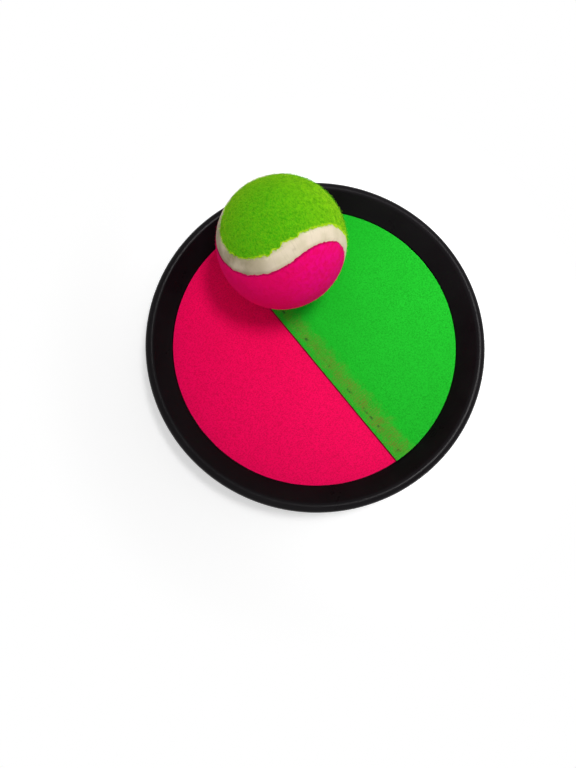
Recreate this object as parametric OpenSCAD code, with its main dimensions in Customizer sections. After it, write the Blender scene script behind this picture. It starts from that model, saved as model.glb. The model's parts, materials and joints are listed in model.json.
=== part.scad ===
// Hook and loop catch paddle with its felt ball, lying face up on its foot ring.
// Millimetres, +Z up out of the catch face, origin in the middle of the plane that it rests on.
// The two hook sheets overlap along a line parallel to Y, and the hand strap runs along X.

/* [Dish] */
// Diameter over the rolled rim
dish_d = 180; // [150:1:230]
// Width of the black ring, from the rim's outer edge in to the catch face
ring_w = 13.2; // [11:0.1:20]
// Radius of the rolled rim's round edge
bead_r = 3; // [2.4:0.1:3.6]
// Height of the rim's widest line above the catch face
rim_rise = 5.6; // [4.5:0.1:9]
// Thickness of the sloping wall
wall = 2.2; // [1.6:0.1:2.8]
// Thickness of the floor behind the face
floor_t = 2.5; // [2:0.1:3.5]
// Thickness of the foot ring at its root
foot_t = 3; // [2.4:0.1:4]
// Draft on each side of the foot ring, over its whole height
foot_draft = 0.4; // [0.2:0.1:0.6]
// Rounding of the foot ring's resting edges
foot_edge_r = 0.5; // [0.3:0.1:0.6]
// Fillet between the floor and the inside of the foot ring
floor_fillet_r = 2; // [1:0.1:3]

/* [Ribs under the rim] */
// Number of ribs round the dish
rib_count = 24; // [12:1:36]
// Thickness of a rib
rib_t = 1.6; // [1:0.1:2.4]
// How far a rib runs down the foot ring
rib_drop = 7; // [4:0.5:10]

/* [Catch face] */
// Thickness of the stiff disc behind the hook sheets
backing_t = 2; // [1.5:0.1:4]
// Thickness of a hook sheet, cloth and hooks together
sheet_t = 1; // [0.8:0.1:1.4]
// Gap between the face pieces and the pocket wall
face_gap = 0.3; // [0.2:0.05:0.5]
// How far the green sheet's edge lies past the middle, on the pink side
seam_offset = 7; // [0:0.5:15]
// Width of the strip where the green sheet covers the pink one
overlap_w = 10; // [6:0.5:16]
// Length over which the green sheet steps down off the pink one
step_len = 1.4; // [1:0.1:3]

/* [Hand strap] */
// Width of the webbing
strap_w = 38; // [25:1:50]
// Thickness of the webbing
strap_t = 1.4; // [1:0.1:2]
// Room for the hand between the strap and the floor
hand_gap = 6.5; // [6:0.5:20]
// Diameter of the bars that the strap goes round
bar_d = 4; // [3.5:0.1:5]
// Distance from the foot ring's inside to a bar's axis
bar_inset = 24.3; // [22:0.1:30]
// Gap between a bar and the strap round it
bar_gap = 0.2; // [0.1:0.05:0.4]
// Gap between the strap on a bar and the backing disc above it
cover_gap = 0.3; // [0.2:0.05:0.5]
// Slope of the strap where it climbs to a bar
climb = 45; // [40:1:50]
// Rounding of the strap's bends, on its middle line
bend_r = 3; // [2:0.5:4]
// Length of the sewn end that lies on the band
sewn_len = 12; // [8:1:16]
// Length of the tail past its bar
tail_len = 46; // [36:1:56]
// Rounding of the tail's free corners
tail_corner_r = 9; // [4:1:12]
// Thickness of a hook or loop patch
patch_t = 0.9; // [0.6:0.1:1.4]
// Bare webbing left round a patch
patch_margin = 2.5; // [1:0.5:4]
// Length of loop patch left for tightening the strap
adjust_len = 26; // [10:1:28]
// Gap between the closed hook and loop patches
grip_gap = 0.3; // [0.2:0.05:0.5]
// Height of the tail above the plane that the paddle rests on
tail_lift = 0.6; // [0.5:0.1:2]

/* [Bar brackets] */
// Gap between the strap's edge and a bracket
side_gap = 1.5; // [0.8:0.1:3]
// Thickness of a bracket along its bar
bracket_t = 3; // [2:0.1:4]
// Plastic round the bar in a bracket
bracket_rim = 1.4; // [1:0.1:2]
// Gap between the strap on a bar and the window's edge
window_gap = 1.2; // [0.9:0.1:2]

/* [Ball] */
// Diameter of the ball over its felt
ball_d = 65; // [58:0.5:72]
// Thickness of the felt
felt_t = 2.6; // [1.8:0.1:3.4]
// Thickness of the rubber half shells
core_t = 3.2; // [2.4:0.1:4.5]
// Gap left for glue between the rubber and the felt
glue_gap = 0.05; // [0.03:0.01:0.1]
// Width of the seam band between the felt panels
seam_w = 7.5; // [3:0.5:8]
// How far the seam band lies below the felt
seam_sink = 0.9; // [0.4:0.1:1.4]
// Lean of the seam's arcs
seam_lean = 8; // [2:1:14]
// Distance from the face's edge in to the ball's axis
ball_inset = 32; // [28:0.5:60]
// Direction of the ball from the middle of the face, from +X
ball_bearing = 75; // [0:1:359]
// Turn of the ball about X, made first
ball_turn_x = -57.1; // [-180:0.1:180]
// Turn of the ball about Y, made second
ball_turn_y = 73.5; // [-180:0.1:180]
// Turn of the ball about Z, made last
ball_turn_z = -67.7; // [-180:0.1:180]
// Gap between the ball and the hook sheets
ball_gap = 0.3; // [0.2:0.05:0.6]

/* [Hidden] */
$fn = 96;
// Points along each quarter of a drawn arc
arc_steps = 6;
// Overrun of a cut past the face that it opens
cut = 1;
// Sink of one moulded feature into another that it grows from
bite = 0.4;
// Gap between the sewn end and the band below it
sewn_gap = 0.05;
// Gap between the tail's root and the strap that stays on the bar
root_gap = 0.3;
// How far the top of the pocket wall lies below the catch face
lip_drop = 0.3;
// How far outside the ball a panel's waist and bay meet, which leaves a short flat at each corner
corner_out = 0.15;

// Heights of the strap's layers, from the ground up
tail_z = tail_lift + strap_t / 2;
hook_z = tail_lift + strap_t;
loop_z = hook_z + patch_t + grip_gap;
band_z = loop_z + patch_t + strap_t / 2;
// Heights of the dish's floor and of the face stack on it
floor_z = band_z + strap_t / 2 + hand_gap;
pocket_z = floor_z + floor_t;
sheet_z = pocket_z + backing_t;
face_z = sheet_z + sheet_t;
raised_z = face_z + sheet_t;

// Plan radii
face_r = dish_d / 2 - ring_w;
pocket_r = face_r + face_gap;
skirt_r = pocket_r + wall;
hollow_r = skirt_r - foot_t;

// Rim section: the sloping wall runs from the pocket's lip up to touch the round edge
lip = [pocket_r, face_z - lip_drop];
bead_c = [dish_d / 2 - bead_r, face_z + rim_rise];
lip_to_bead = bead_c - lip;
rim_slope = atan2(lip_to_bead.y, lip_to_bead.x) + asin(bead_r / norm(lip_to_bead));
slope_dir = [cos(rim_slope), sin(rim_slope)];
under_dir = [sin(rim_slope), -cos(rim_slope)];
crest = lip + sqrt(pow(norm(lip_to_bead), 2) - pow(bead_r, 2)) * slope_dir;
under_lip = lip + wall * under_dir;
root_z = under_lip.y + (skirt_r - under_lip.x) * tan(rim_slope);

// Strap bars
bar_x = hollow_r - bar_inset;
wrap_r = bar_d / 2 + bar_gap + strap_t / 2;
wrap_outer_r = wrap_r + strap_t / 2;
bar_z = pocket_z - cover_gap - wrap_outer_r;
window_half_x = wrap_outer_r + window_gap;
window_half_y = strap_w / 2 + side_gap;
bracket_r = bar_d / 2 + bracket_rim;
// Where the strap's climbing lines, above and below a bar, reach a given height, counted from its axis
function upper_reach(z) = (wrap_r + (bar_z - z) * cos(climb)) / sin(climb);
function lower_reach(z) = (-wrap_r + (bar_z - z) * cos(climb)) / sin(climb);
band_end_x = bar_x - upper_reach(band_z);
tail_bend_x = bar_x - lower_reach(tail_z);
tail_end_x = bar_x - tail_len;
hook_patch_x = [tail_end_x + patch_margin, tail_bend_x - bend_r - patch_margin];
loop_patch_x = [
    max(tail_end_x - adjust_len, -bar_x + lower_reach(band_z) + bend_r + patch_margin),
    band_end_x - bend_r
];

// Green step, and the ball's place on the face
pink_edge_x = overlap_w - seam_offset;
step_x = pink_edge_x + face_gap;
ball_r = ball_d / 2;
ball_x = (face_r - ball_inset) * cos(ball_bearing);
ball_y = (face_r - ball_inset) * sin(ball_bearing);
strip_gap = max(0, ball_x - step_x - step_len, -seam_offset - ball_x);
ball_z = ball_gap + max(
    face_z + ball_r,
    raised_z + sqrt(pow(ball_r, 2) - pow(min(strip_gap, ball_r), 2))
);
core_r = ball_r - felt_t - glue_gap;
// Seam arcs: each felt panel stops half the band's width short of the middle line
panel_angle = 45 - asin(seam_w / 2 / ball_r);
reach = ball_r + cut;

// Points of an arc about c
function arc(c, r, from, to) = let (steps = max(2, round(arc_steps * abs(to - from) / 90)))
    [for (i = [0 : steps]) let (a = from + (to - from) * i / steps) c + r * [cos(a), sin(a)]];

// A path's corner rounded to radius r, as points
function rounded(before, corner, after, r) = let (
    u = (before - corner) / norm(before - corner),
    v = (after - corner) / norm(after - corner),
    half = acos(u * v) / 2,
    middle = corner + (u + v) / norm(u + v) * r / sin(half),
    start = corner + u * r / tan(half) - middle,
    end = corner + v * r / tan(half) - middle,
    from = atan2(start.y, start.x),
    turn = atan2(start.x * end.y - start.y * end.x, start * end)
) arc(middle, r, from, from + turn);

// Unit normals along a path, on its left, stretched at bends so that the strip keeps its thickness
function left_of(v) = [-v.y, v.x] / norm(v);
function path_normal(p, i) = let (
    n = len(p) - 1,
    a = left_of(p[max(i, 1)] - p[max(i, 1) - 1]),
    b = left_of(p[min(i, n - 1) + 1] - p[min(i, n - 1)])
) (a + b) / (1 + a * b);

// Strip of even thickness along a path in X and Z, as wide as the given width along Y
module strip(path, thickness, width) {
    sides = [for (s = [1, -1]) [for (i = [0 : len(path) - 1]) path[i] + s * thickness / 2 * path_normal(path, i)]];
    outline = concat(sides[0], [for (i = [len(path) - 1 : -1 : 0]) sides[1][i]]);
    rotate([90, 0, 0])
        linear_extrude(width, center = true)
            polygon(outline);
}

// Rectangle in plan between two X values, its corners at the low end rounded
module tongue_plan(x, width, r) {
    translate([x[0] + r, -width / 2])
        square([x[1] - x[0] - r, width]);
    translate([x[0], -width / 2 + r])
        square([r, width - 2 * r]);
    for (side = [-1, 1])
        translate([x[0] + r, side * (width / 2 - r)])
            circle(r);
}

// Section of the moulded dish, turned about the axis
module dish_section() {
    foot_out = skirt_r - foot_draft;
    foot_in = hollow_r + foot_draft;
    polygon(concat(
        [[0, pocket_z], [pocket_r, pocket_z], lip, crest, crest + wall * under_dir, [skirt_r, root_z]],
        arc([foot_out - foot_edge_r, foot_edge_r], foot_edge_r, 0, -90),
        arc([foot_in + foot_edge_r, foot_edge_r], foot_edge_r, -90, -180),
        arc([hollow_r - floor_fillet_r, floor_z - floor_fillet_r], floor_fillet_r, 0, 90),
        [[0, floor_z]]
    ));
    translate(bead_c)
        circle(bead_r);
}

// Triangular rib between the foot ring and the underside of the rim
module rim_rib() {
    inner_x = skirt_r - foot_draft - bite;
    outer = crest + wall * under_dir;
    rotate([90, 0, 0])
        linear_extrude(rib_t, center = true)
            polygon([
                [inner_x, root_z - rib_drop],
                [inner_x, root_z],
                [skirt_r, root_z] - bite * under_dir,
                outer - bite * under_dir,
                outer
            ]);
}

// Bar across a strap window, held by a bracket at each end
module strap_bar() {
    bar_len = 2 * (window_half_y + bracket_t / 2);
    translate([0, 0, bar_z])
        rotate([90, 0, 0])
            cylinder(d = bar_d, h = bar_len, center = true);
    for (side = [-1, 1])
        translate([0, side * (window_half_y + bracket_t / 2), 0]) {
            translate([0, 0, bar_z])
                rotate([90, 0, 0])
                    cylinder(r = bracket_r, h = bracket_t, center = true);
            translate([-bracket_r, -bracket_t / 2, bar_z])
                cube([2 * bracket_r, bracket_t, floor_z + bite - bar_z]);
        }
}

module paddle_shell() {
    color([0.05, 0.05, 0.055]) {
        difference() {
            union() {
                rotate_extrude()
                    dish_section();
                for (i = [0 : rib_count - 1])
                    rotate(360 * (i + 0.5) / rib_count)
                        rim_rib();
            }
            for (side = [-1, 1])
                translate([side * bar_x - window_half_x, -window_half_y, floor_z - cut])
                    cube([2 * window_half_x, 2 * window_half_y, floor_t + 2 * cut]);
        }
        for (side = [-1, 1])
            translate([side * bar_x, 0, 0])
                strap_bar();
    }
}

module backing_disc() {
    color([0.75, 0.72, 0.66])
        translate([0, 0, pocket_z])
            cylinder(r = face_r, h = backing_t);
}

module hook_sheet_pink() {
    color([0.94, 0.05, 0.33])
        intersection() {
            translate([0, 0, sheet_z])
                cylinder(r = face_r, h = sheet_t);
            translate([-face_r - cut, -face_r - cut, sheet_z - cut])
                cube([face_r + cut + pink_edge_x, 2 * (face_r + cut), sheet_t + 2 * cut]);
        }
}

module hook_sheet_green() {
    far_x = face_r + cut;
    under = [[far_x, sheet_z], [step_x + step_len, sheet_z], [step_x, face_z], [-seam_offset, face_z]];
    over = [for (i = [3 : -1 : 0]) under[i] + [0, sheet_t]];
    color([0.12, 0.78, 0.16])
        intersection() {
            rotate([90, 0, 0])
                linear_extrude(2 * far_x, center = true)
                    polygon(concat(under, over));
            translate([0, 0, sheet_z - cut])
                cylinder(r = face_r, h = 2 * (sheet_t + cut));
        }
}

// The band: sewn round the bar at -X, level across the back, then over the bar at +X
module strap_band() {
    sewn_z = band_z + strap_t + sewn_gap;
    bar_a = [-bar_x, bar_z];
    bar_b = [bar_x, bar_z];
    sewn_x = -bar_x + upper_reach(sewn_z);
    level_x = -bar_x + lower_reach(band_z);
    loop_top = bar_a + wrap_r * [sin(climb), cos(climb)];
    loop_low = bar_a - wrap_r * [sin(climb), cos(climb)];
    over_top = bar_b + wrap_r * [-sin(climb), cos(climb)];
    path = concat(
        [[sewn_x + sewn_len, sewn_z]],
        rounded([sewn_x + sewn_len, sewn_z], [sewn_x, sewn_z], loop_top, bend_r),
        arc(bar_a, wrap_r, 90 - climb, 270 - climb),
        rounded(loop_low, [level_x, band_z], [band_end_x, band_z], bend_r),
        rounded([level_x, band_z], [band_end_x, band_z], over_top, bend_r),
        arc(bar_b, wrap_r, 90 + climb, climb - 90)
    );
    color([0.1, 0.1, 0.11])
        strip(path, strap_t, strap_w);
}

module strap_loop_patch() {
    width = strap_w - 2 * patch_margin;
    color([0.07, 0.07, 0.08])
        translate([loop_patch_x[0], -width / 2, loop_z])
            cube([loop_patch_x[1] - loop_patch_x[0], width, patch_t]);
}

// The tail: leaves the bar at +X and lies folded back under the band, its root hollowed round the bar
module strap_tail() {
    bar_b = [bar_x, bar_z];
    leaves = bar_b + wrap_r * [sin(climb), -cos(climb)];
    tail_end = [tail_end_x, tail_z];
    path = concat([leaves], rounded(leaves, [tail_bend_x, tail_z], tail_end, bend_r), [tail_end]);
    color([0.1, 0.1, 0.11])
        difference() {
            intersection() {
                strip(path, strap_t, strap_w);
                linear_extrude(floor_z)
                    tongue_plan([tail_end_x, bar_x + window_half_x], strap_w, tail_corner_r);
            }
            translate([bar_x, 0, bar_z])
                rotate([90, 0, 0])
                    cylinder(r = wrap_outer_r + root_gap, h = strap_w + 2 * cut, center = true);
        }
}

module strap_hook_patch() {
    color([0.07, 0.07, 0.08])
        translate([0, 0, hook_z])
            linear_extrude(patch_t)
                tongue_plan(hook_patch_x, strap_w - 2 * patch_margin, tail_corner_r - patch_margin);
}

// Sets the ball's own frame on the face, as it was left there
module on_face() {
    translate([ball_x, ball_y, ball_z])
        rotate([ball_turn_x, ball_turn_y, ball_turn_z])
            children();
}

// Hollow ball between two radii, its poles and its start line turned to where the finished piece has a gap
module hollow_ball(outer, inner, turn = [0, 0, 0]) {
    rotate(turn)
        difference() {
            sphere(outer);
            sphere(inner);
        }
}

// Space of one dog-bone panel: a waist over the top that narrows with height, less the bay under it
module panel_space() {
    waist = (ball_r + corner_out) * sin(panel_angle);
    bay = (ball_r + corner_out) * cos(panel_angle);
    waist_lean = tan(seam_lean) / tan(panel_angle);
    bay_lean = tan(seam_lean);
    difference() {
        rotate([90, 0, 90])
            linear_extrude(2 * reach, center = true)
                polygon([
                    [-waist - reach * waist_lean, -reach],
                    [waist + reach * waist_lean, -reach],
                    [waist - reach * waist_lean, reach],
                    [reach * waist_lean - waist, reach]
                ]);
        rotate([90, 0, 0])
            linear_extrude(2 * reach + 2 * cut, center = true)
                polygon([
                    [-bay, 0],
                    [bay, 0],
                    [bay - (reach + cut) * bay_lean, -reach - cut],
                    [(reach + cut) * bay_lean - bay, -reach - cut]
                ]);
    }
}

// Turns one panel over to where the other locks into it
module turned_over() {
    rotate([180, 0, 90])
        children();
}

module half_core(side) {
    color([0.22, 0.22, 0.24])
        on_face()
            intersection() {
                hollow_ball(core_r, core_r - core_t);
                translate([-reach, -reach, side > 0 ? 0 : -reach])
                    cube([2 * reach, 2 * reach, reach]);
            }
}

module ball_core_upper() {
    half_core(1);
}

module ball_core_lower() {
    half_core(-1);
}

// One dog-bone felt panel
module felt_panel() {
    intersection() {
        hollow_ball(ball_r, ball_r - felt_t, [0, 90, 90]);
        panel_space();
    }
}

module ball_felt_green() {
    color([0.36, 0.72, 0.05])
        on_face()
            felt_panel();
}

module ball_felt_pink() {
    color([0.9, 0.02, 0.42])
        on_face()
            turned_over()
                felt_panel();
}

module ball_seam() {
    color([0.93, 0.9, 0.82])
        on_face()
            difference() {
                hollow_ball(ball_r - seam_sink, ball_r - felt_t, [0, -90, 0]);
                panel_space();
                turned_over()
                    panel_space();
            }
}

paddle_shell();
backing_disc();
hook_sheet_pink();
hook_sheet_green();
strap_band();
strap_loop_patch();
strap_tail();
strap_hook_patch();
ball_core_upper();
ball_core_lower();
ball_felt_green();
ball_felt_pink();
ball_seam();
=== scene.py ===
"""Looks of a hook and loop catch paddle with its felt ball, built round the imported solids.

The classes hold their sizes in millimetres, in the solids' own frame: +Z out of the catch face and
+X along the hand strap, towards the green sheet. Meshes, finishes and the studio are in metres.
"""

import json
import logging
import math
from dataclasses import dataclass
from enum import Enum
from functools import cache
from typing import Any, Sequence

import bmesh
import bpy
import numpy as np
from mathutils import Euler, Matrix, Vector, kdtree, noise


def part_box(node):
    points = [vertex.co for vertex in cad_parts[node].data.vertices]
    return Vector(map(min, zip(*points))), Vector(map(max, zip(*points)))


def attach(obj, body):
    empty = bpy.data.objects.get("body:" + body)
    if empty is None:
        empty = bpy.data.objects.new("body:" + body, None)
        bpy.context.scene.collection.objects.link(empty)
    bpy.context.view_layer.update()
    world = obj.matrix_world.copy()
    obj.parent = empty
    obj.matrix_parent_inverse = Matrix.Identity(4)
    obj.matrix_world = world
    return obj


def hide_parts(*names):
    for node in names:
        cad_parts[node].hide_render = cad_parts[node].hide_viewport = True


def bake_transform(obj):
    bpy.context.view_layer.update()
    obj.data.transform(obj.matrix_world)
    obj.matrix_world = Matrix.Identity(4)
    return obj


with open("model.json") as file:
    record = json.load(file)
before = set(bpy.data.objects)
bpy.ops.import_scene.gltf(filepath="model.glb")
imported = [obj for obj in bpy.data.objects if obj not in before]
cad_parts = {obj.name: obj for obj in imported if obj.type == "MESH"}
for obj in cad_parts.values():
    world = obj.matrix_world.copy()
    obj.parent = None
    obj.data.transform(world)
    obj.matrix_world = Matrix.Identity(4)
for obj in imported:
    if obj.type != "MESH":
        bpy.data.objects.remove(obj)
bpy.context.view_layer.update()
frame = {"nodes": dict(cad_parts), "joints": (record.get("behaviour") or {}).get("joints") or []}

MM = 0.001
ARC_STEP = 7.5
LOG = logging.getLogger("catch_paddle")

Colour = tuple[float, float, float]
Flat = tuple[float, float]
Corner = tuple[float, float, float]
Faces = list[list[int]]
Box = tuple[Vector, Vector]
Object = bpy.types.Object
Material = bpy.types.Material
Socket = bpy.types.NodeSocket


class Body(str, Enum):
    """The solids' bodies that pieces ride on."""

    PADDLE = "paddle"
    BALL = "ball"
    TAIL = "strap_tail"


class Slot(str, Enum):
    """The record's material slots that the pieces take."""

    SHELL = "shell_plastic"
    PINK_HOOK = "pink_hook_fabric"
    GREEN_HOOK = "green_hook_fabric"
    WEBBING = "strap_webbing"
    PATCH = "strap_patch"
    GREEN_FELT = "green_felt"
    PINK_FELT = "pink_felt"
    SEAM = "seam_compound"


class Panel(Enum):
    """The ball's two felt panels, with the side of the seam that each lies on."""

    GREEN = 1
    PINK = -1

    @property
    def label(self) -> str:
        """The panel's colour as it stands in names."""
        return self.name.lower()


# Plane shapes


def unit(vector: np.ndarray) -> np.ndarray:
    """The vector at length one."""
    return vector / np.linalg.norm(vector)


def eased(share: np.ndarray) -> np.ndarray:
    """A share from 0 to 1, slow at both ends."""
    return share * share * (3 - 2 * share)


def arc(centre: Flat, radius: float, start: float, end: float, step: float = ARC_STEP) -> list[Flat]:
    """Points of an arc, with its angles in degrees.

    Args:
        centre: The arc's centre.
        radius: Its radius.
        start: Angle of its first point.
        end: Angle of its last point.
        step: About how far apart its points are.

    Returns:
        The points, both ends included.
    """
    count = max(2, round(abs(end - start) / step))
    angles = np.radians(np.linspace(start, end, count + 1))
    return [(centre[0] + radius * math.cos(a), centre[1] + radius * math.sin(a)) for a in angles]


def rounded(corners: Sequence[Corner]) -> list[Flat]:
    """An open path with its corners rounded.

    Args:
        corners: Each corner's two coordinates and the radius that rounds it.

    Returns:
        The path's points, from the first corner to the last.
    """
    points = [tuple(corners[0][:2])]
    for before, corner, after in zip(corners, corners[1:], corners[2:]):
        radius = corner[2]
        here = np.array(corner[:2])
        if radius == 0:
            points.append(tuple(here))
            continue
        u = unit(np.array(before[:2]) - here)
        v = unit(np.array(after[:2]) - here)
        half = math.acos(float(np.clip(u @ v, -1, 1))) / 2
        middle = here + unit(u + v) * radius / math.sin(half)
        start = here + u * radius / math.tan(half) - middle
        end = here + v * radius / math.tan(half) - middle
        first = math.degrees(math.atan2(start[1], start[0]))
        turn = math.degrees(math.atan2(start[0] * end[1] - start[1] * end[0], start @ end))
        points += arc(tuple(middle), radius, first, first + turn)
    points.append(tuple(corners[-1][:2]))
    return points


def spaced(path: Sequence[Flat], step: float) -> np.ndarray:
    """The path with points added so that no two are further apart than the step.

    Args:
        path: The path's points.
        step: The longest distance left between points.

    Returns:
        The points as an array of rows.
    """
    points = [np.array(path[0], float)]
    for a, b in zip(path, path[1:]):
        a, b = np.array(a, float), np.array(b, float)
        length = float(np.linalg.norm(b - a))
        if length < 1e-6:
            continue
        count = max(1, math.ceil(length / step))
        points += [a + (b - a) * i / count for i in range(1, count + 1)]
    return np.array(points)


# Meshes


def make_object(
    name: str, points: Any, faces: Faces | None = None, edges: Sequence[Sequence[int]] = ()
) -> Object:
    """A mesh object in the scene.

    Args:
        name: The piece's name.
        points: Its points, in millimetres.
        faces: Its faces, as indices that go round them seen from outside.
        edges: Its loose edges.

    Returns:
        The object, smooth shaded apart from its sharp edges.
    """
    mesh = bpy.data.meshes.new(name)
    mesh.from_pydata((np.asarray(points, float) * MM).tolist(), list(edges), faces or [])
    mesh.validate()
    smooth(mesh)
    made = bpy.data.objects.new(name, mesh)
    bpy.context.scene.collection.objects.link(made)
    return made


def smooth(mesh: bpy.types.Mesh, sharp_deg: float = 35) -> None:
    """Shades a mesh smooth.

    Args:
        mesh: The mesh.
        sharp_deg: Edges that turn by more than this stay sharp.
    """
    mesh.update()
    if mesh.polygons:
        mesh.shade_smooth()
        mesh.set_sharp_from_angle(angle=math.radians(sharp_deg))


def bake(made: Object) -> Object:
    """Turns an object with modifiers into a plain mesh.

    Args:
        made: The object, changed in place.

    Returns:
        The same object.
    """
    seen = made.evaluated_get(bpy.context.evaluated_depsgraph_get())
    mesh = bpy.data.meshes.new_from_object(seen)
    old = made.data
    made.modifiers.clear()
    made.data = mesh
    bpy.data.meshes.remove(old)
    mesh.name = made.name
    smooth(mesh)
    return made


def soften(made: Object, width: float, segments: int, sharp_deg: float = 30) -> Object:
    """Bevels an object's sharp edges.

    Args:
        made: The object, changed in place.
        width: The bevel's width, in millimetres.
        segments: The bevel's steps.
        sharp_deg: Edges that turn by more than this are bevelled.

    Returns:
        The same object.
    """
    bevel = made.modifiers.new("edges", "BEVEL")
    bevel.width = width * MM
    bevel.segments = segments
    bevel.limit_method = "ANGLE"
    bevel.angle_limit = math.radians(sharp_deg)
    return bake(made)


def face_outwards(made: Object) -> None:
    """Turns every face of a closed mesh outwards.

    Args:
        made: The mesh object, changed in place.
    """
    shape = bmesh.new()
    shape.from_mesh(made.data)
    bmesh.ops.recalc_face_normals(shape, faces=shape.faces)
    shape.to_mesh(made.data)
    shape.free()
    smooth(made.data)


def discard(*objects: Object) -> None:
    """Removes helper objects that others were made from."""
    for helper in objects:
        bpy.data.objects.remove(helper)


def add_attribute(made: Object, name: str, values: np.ndarray) -> None:
    """Stores one number for each point of a mesh."""
    layer = made.data.attributes.new(name, "FLOAT", "POINT")
    layer.data.foreach_set("value", np.asarray(values, np.float32))


@dataclass(frozen=True)
class Thread:
    """A short thread that bends in the XZ plane, such as a hook, loop or fibre.

    Its line holds the X and Z of the points that it follows, its radii the radius at each of them.
    """

    name: str
    line: Sequence[Flat]
    radii: Sequence[float]
    sides: int = 3

    def shape(self) -> Object:
        """Makes the thread.

        Returns:
            A closed tube, with the share of its length kept as the attribute tip.
        """
        line = np.array([(x, 0.0, z) for x, z in self.line])
        side = np.array((0.0, 1.0, 0.0))
        sides = self.sides
        points = []
        for middle, direction, radius in zip(line, np.gradient(line, axis=0), self.radii):
            up = unit(np.cross(direction, side))
            for k in range(sides):
                a = 2 * math.pi * k / sides
                points.append(middle + radius * (math.cos(a) * side + math.sin(a) * up))
        faces = []
        for i in range(len(line) - 1):
            for k in range(sides):
                n = (k + 1) % sides
                faces.append([i * sides + k, i * sides + n, (i + 1) * sides + n, (i + 1) * sides + k])
        last = (len(line) - 1) * sides
        faces += [list(range(sides - 1, -1, -1)), list(range(last, last + sides))]
        made = make_object(self.name, points, faces)
        add_attribute(made, "tip", np.repeat(np.linspace(0, 1, len(line)), sides))
        return made


def slab(name: str, outline: Sequence[Flat], low: float, high: float, edge: float) -> Object:
    """A flat piece with softened edges.

    Args:
        name: The piece's name.
        outline: Its outline in plan, counter-clockwise.
        low: Height of its underside.
        high: Height of its top.
        edge: Width of the softening at the upper and lower edges.

    Returns:
        The closed slab.
    """
    plan = np.array(outline, float)
    middle = plan.mean(axis=0)
    reach = np.abs(plan - middle).max(axis=0)
    inner = middle + (plan - middle) * (1 - edge / reach)
    n = len(plan)
    rings = ((inner, low), (plan, low + edge), (plan, high - edge), (inner, high))
    points = np.vstack([np.column_stack((ring, np.full(n, z))) for ring, z in rings])
    faces = [list(range(n - 1, -1, -1)), list(range(3 * n, 4 * n))]
    for r in range(3):
        for k in range(n):
            m = (k + 1) % n
            faces.append([r * n + k, r * n + m, (r + 1) * n + m, (r + 1) * n + k])
    return make_object(name, points, faces)


def prisms(name: str, shapes: Sequence[tuple[Sequence[Flat], float, float]]) -> Object:
    """Straight pieces along Y, as one mesh.

    Args:
        name: The piece's name.
        shapes: Each one's outline in X and Z, counter-clockwise seen from -Y, and its two ends.

    Returns:
        The closed pieces.
    """
    points: list[Corner] = []
    faces: Faces = []
    for outline, start, end in shapes:
        base, n = len(points), len(outline)
        points += [(x, y, z) for y in (start, end) for x, z in outline]
        faces += [[base + k for k in range(n)], [base + n + k for k in range(n - 1, -1, -1)]]
        for k in range(n):
            m = (k + 1) % n
            faces.append([base + k, base + n + k, base + n + m, base + m])
    return make_object(name, points, faces)


@dataclass(frozen=True)
class Bumps:
    """Smooth bumps all through space: their height, their spacing and their pattern's shift."""

    height: float
    size: float
    shift: float = 0.0

    def at(self, points: np.ndarray) -> np.ndarray:
        """The height at each point, up or down, in millimetres."""
        places = points + self.shift
        return self.height * np.array([noise.noise(Vector(p) / self.size) for p in places])


# Node trees


class Nodes:
    """A node tree, with short names for the nodes that several kinds of tree share."""

    def __init__(self, tree: bpy.types.NodeTree) -> None:
        """Takes the tree that nodes are added to."""
        self.tree = tree

    def add(self, kind: str, inputs: dict[Any, Any] | None = None, **settings: Any) -> Any:
        """Adds one node.

        Args:
            kind: The node's type name.
            inputs: Values or other nodes' outputs, by the socket's name or index.
            settings: The node's own properties.

        Returns:
            The new node.
        """
        node = self.tree.nodes.new(kind)
        for key, value in settings.items():
            setattr(node, key, value)
        for key, value in (inputs or {}).items():
            if isinstance(value, Socket):
                self.tree.links.new(value, node.inputs[key])
            else:
                node.inputs[key].default_value = value
        return node

    def math(self, operation: str, a: Any, b: Any = 0.0) -> Socket:
        """One step of arithmetic on two numbers or outputs."""
        return self.add("ShaderNodeMath", {0: a, 1: b}, operation=operation).outputs[0]

    def plus(self, a: Any, b: Any) -> Socket:
        """The sum of two numbers or outputs."""
        return self.math("ADD", a, b)

    def minus(self, a: Any, b: Any) -> Socket:
        """The first of two numbers or outputs less the second."""
        return self.math("SUBTRACT", a, b)

    def times(self, a: Any, b: Any) -> Socket:
        """The product of two numbers or outputs."""
        return self.math("MULTIPLY", a, b)

    def seen(self) -> Socket:
        """Tells light that reaches the camera from the rest.

        Returns:
            1 for light seen straight, mirrored or through glass, and 0 for the rest.
        """
        rays = self.add("ShaderNodeLightPath").outputs
        straight = self.math("MAXIMUM", rays["Is Camera Ray"], rays["Is Glossy Ray"])
        return self.math("MAXIMUM", straight, rays["Is Transmission Ray"])


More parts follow.
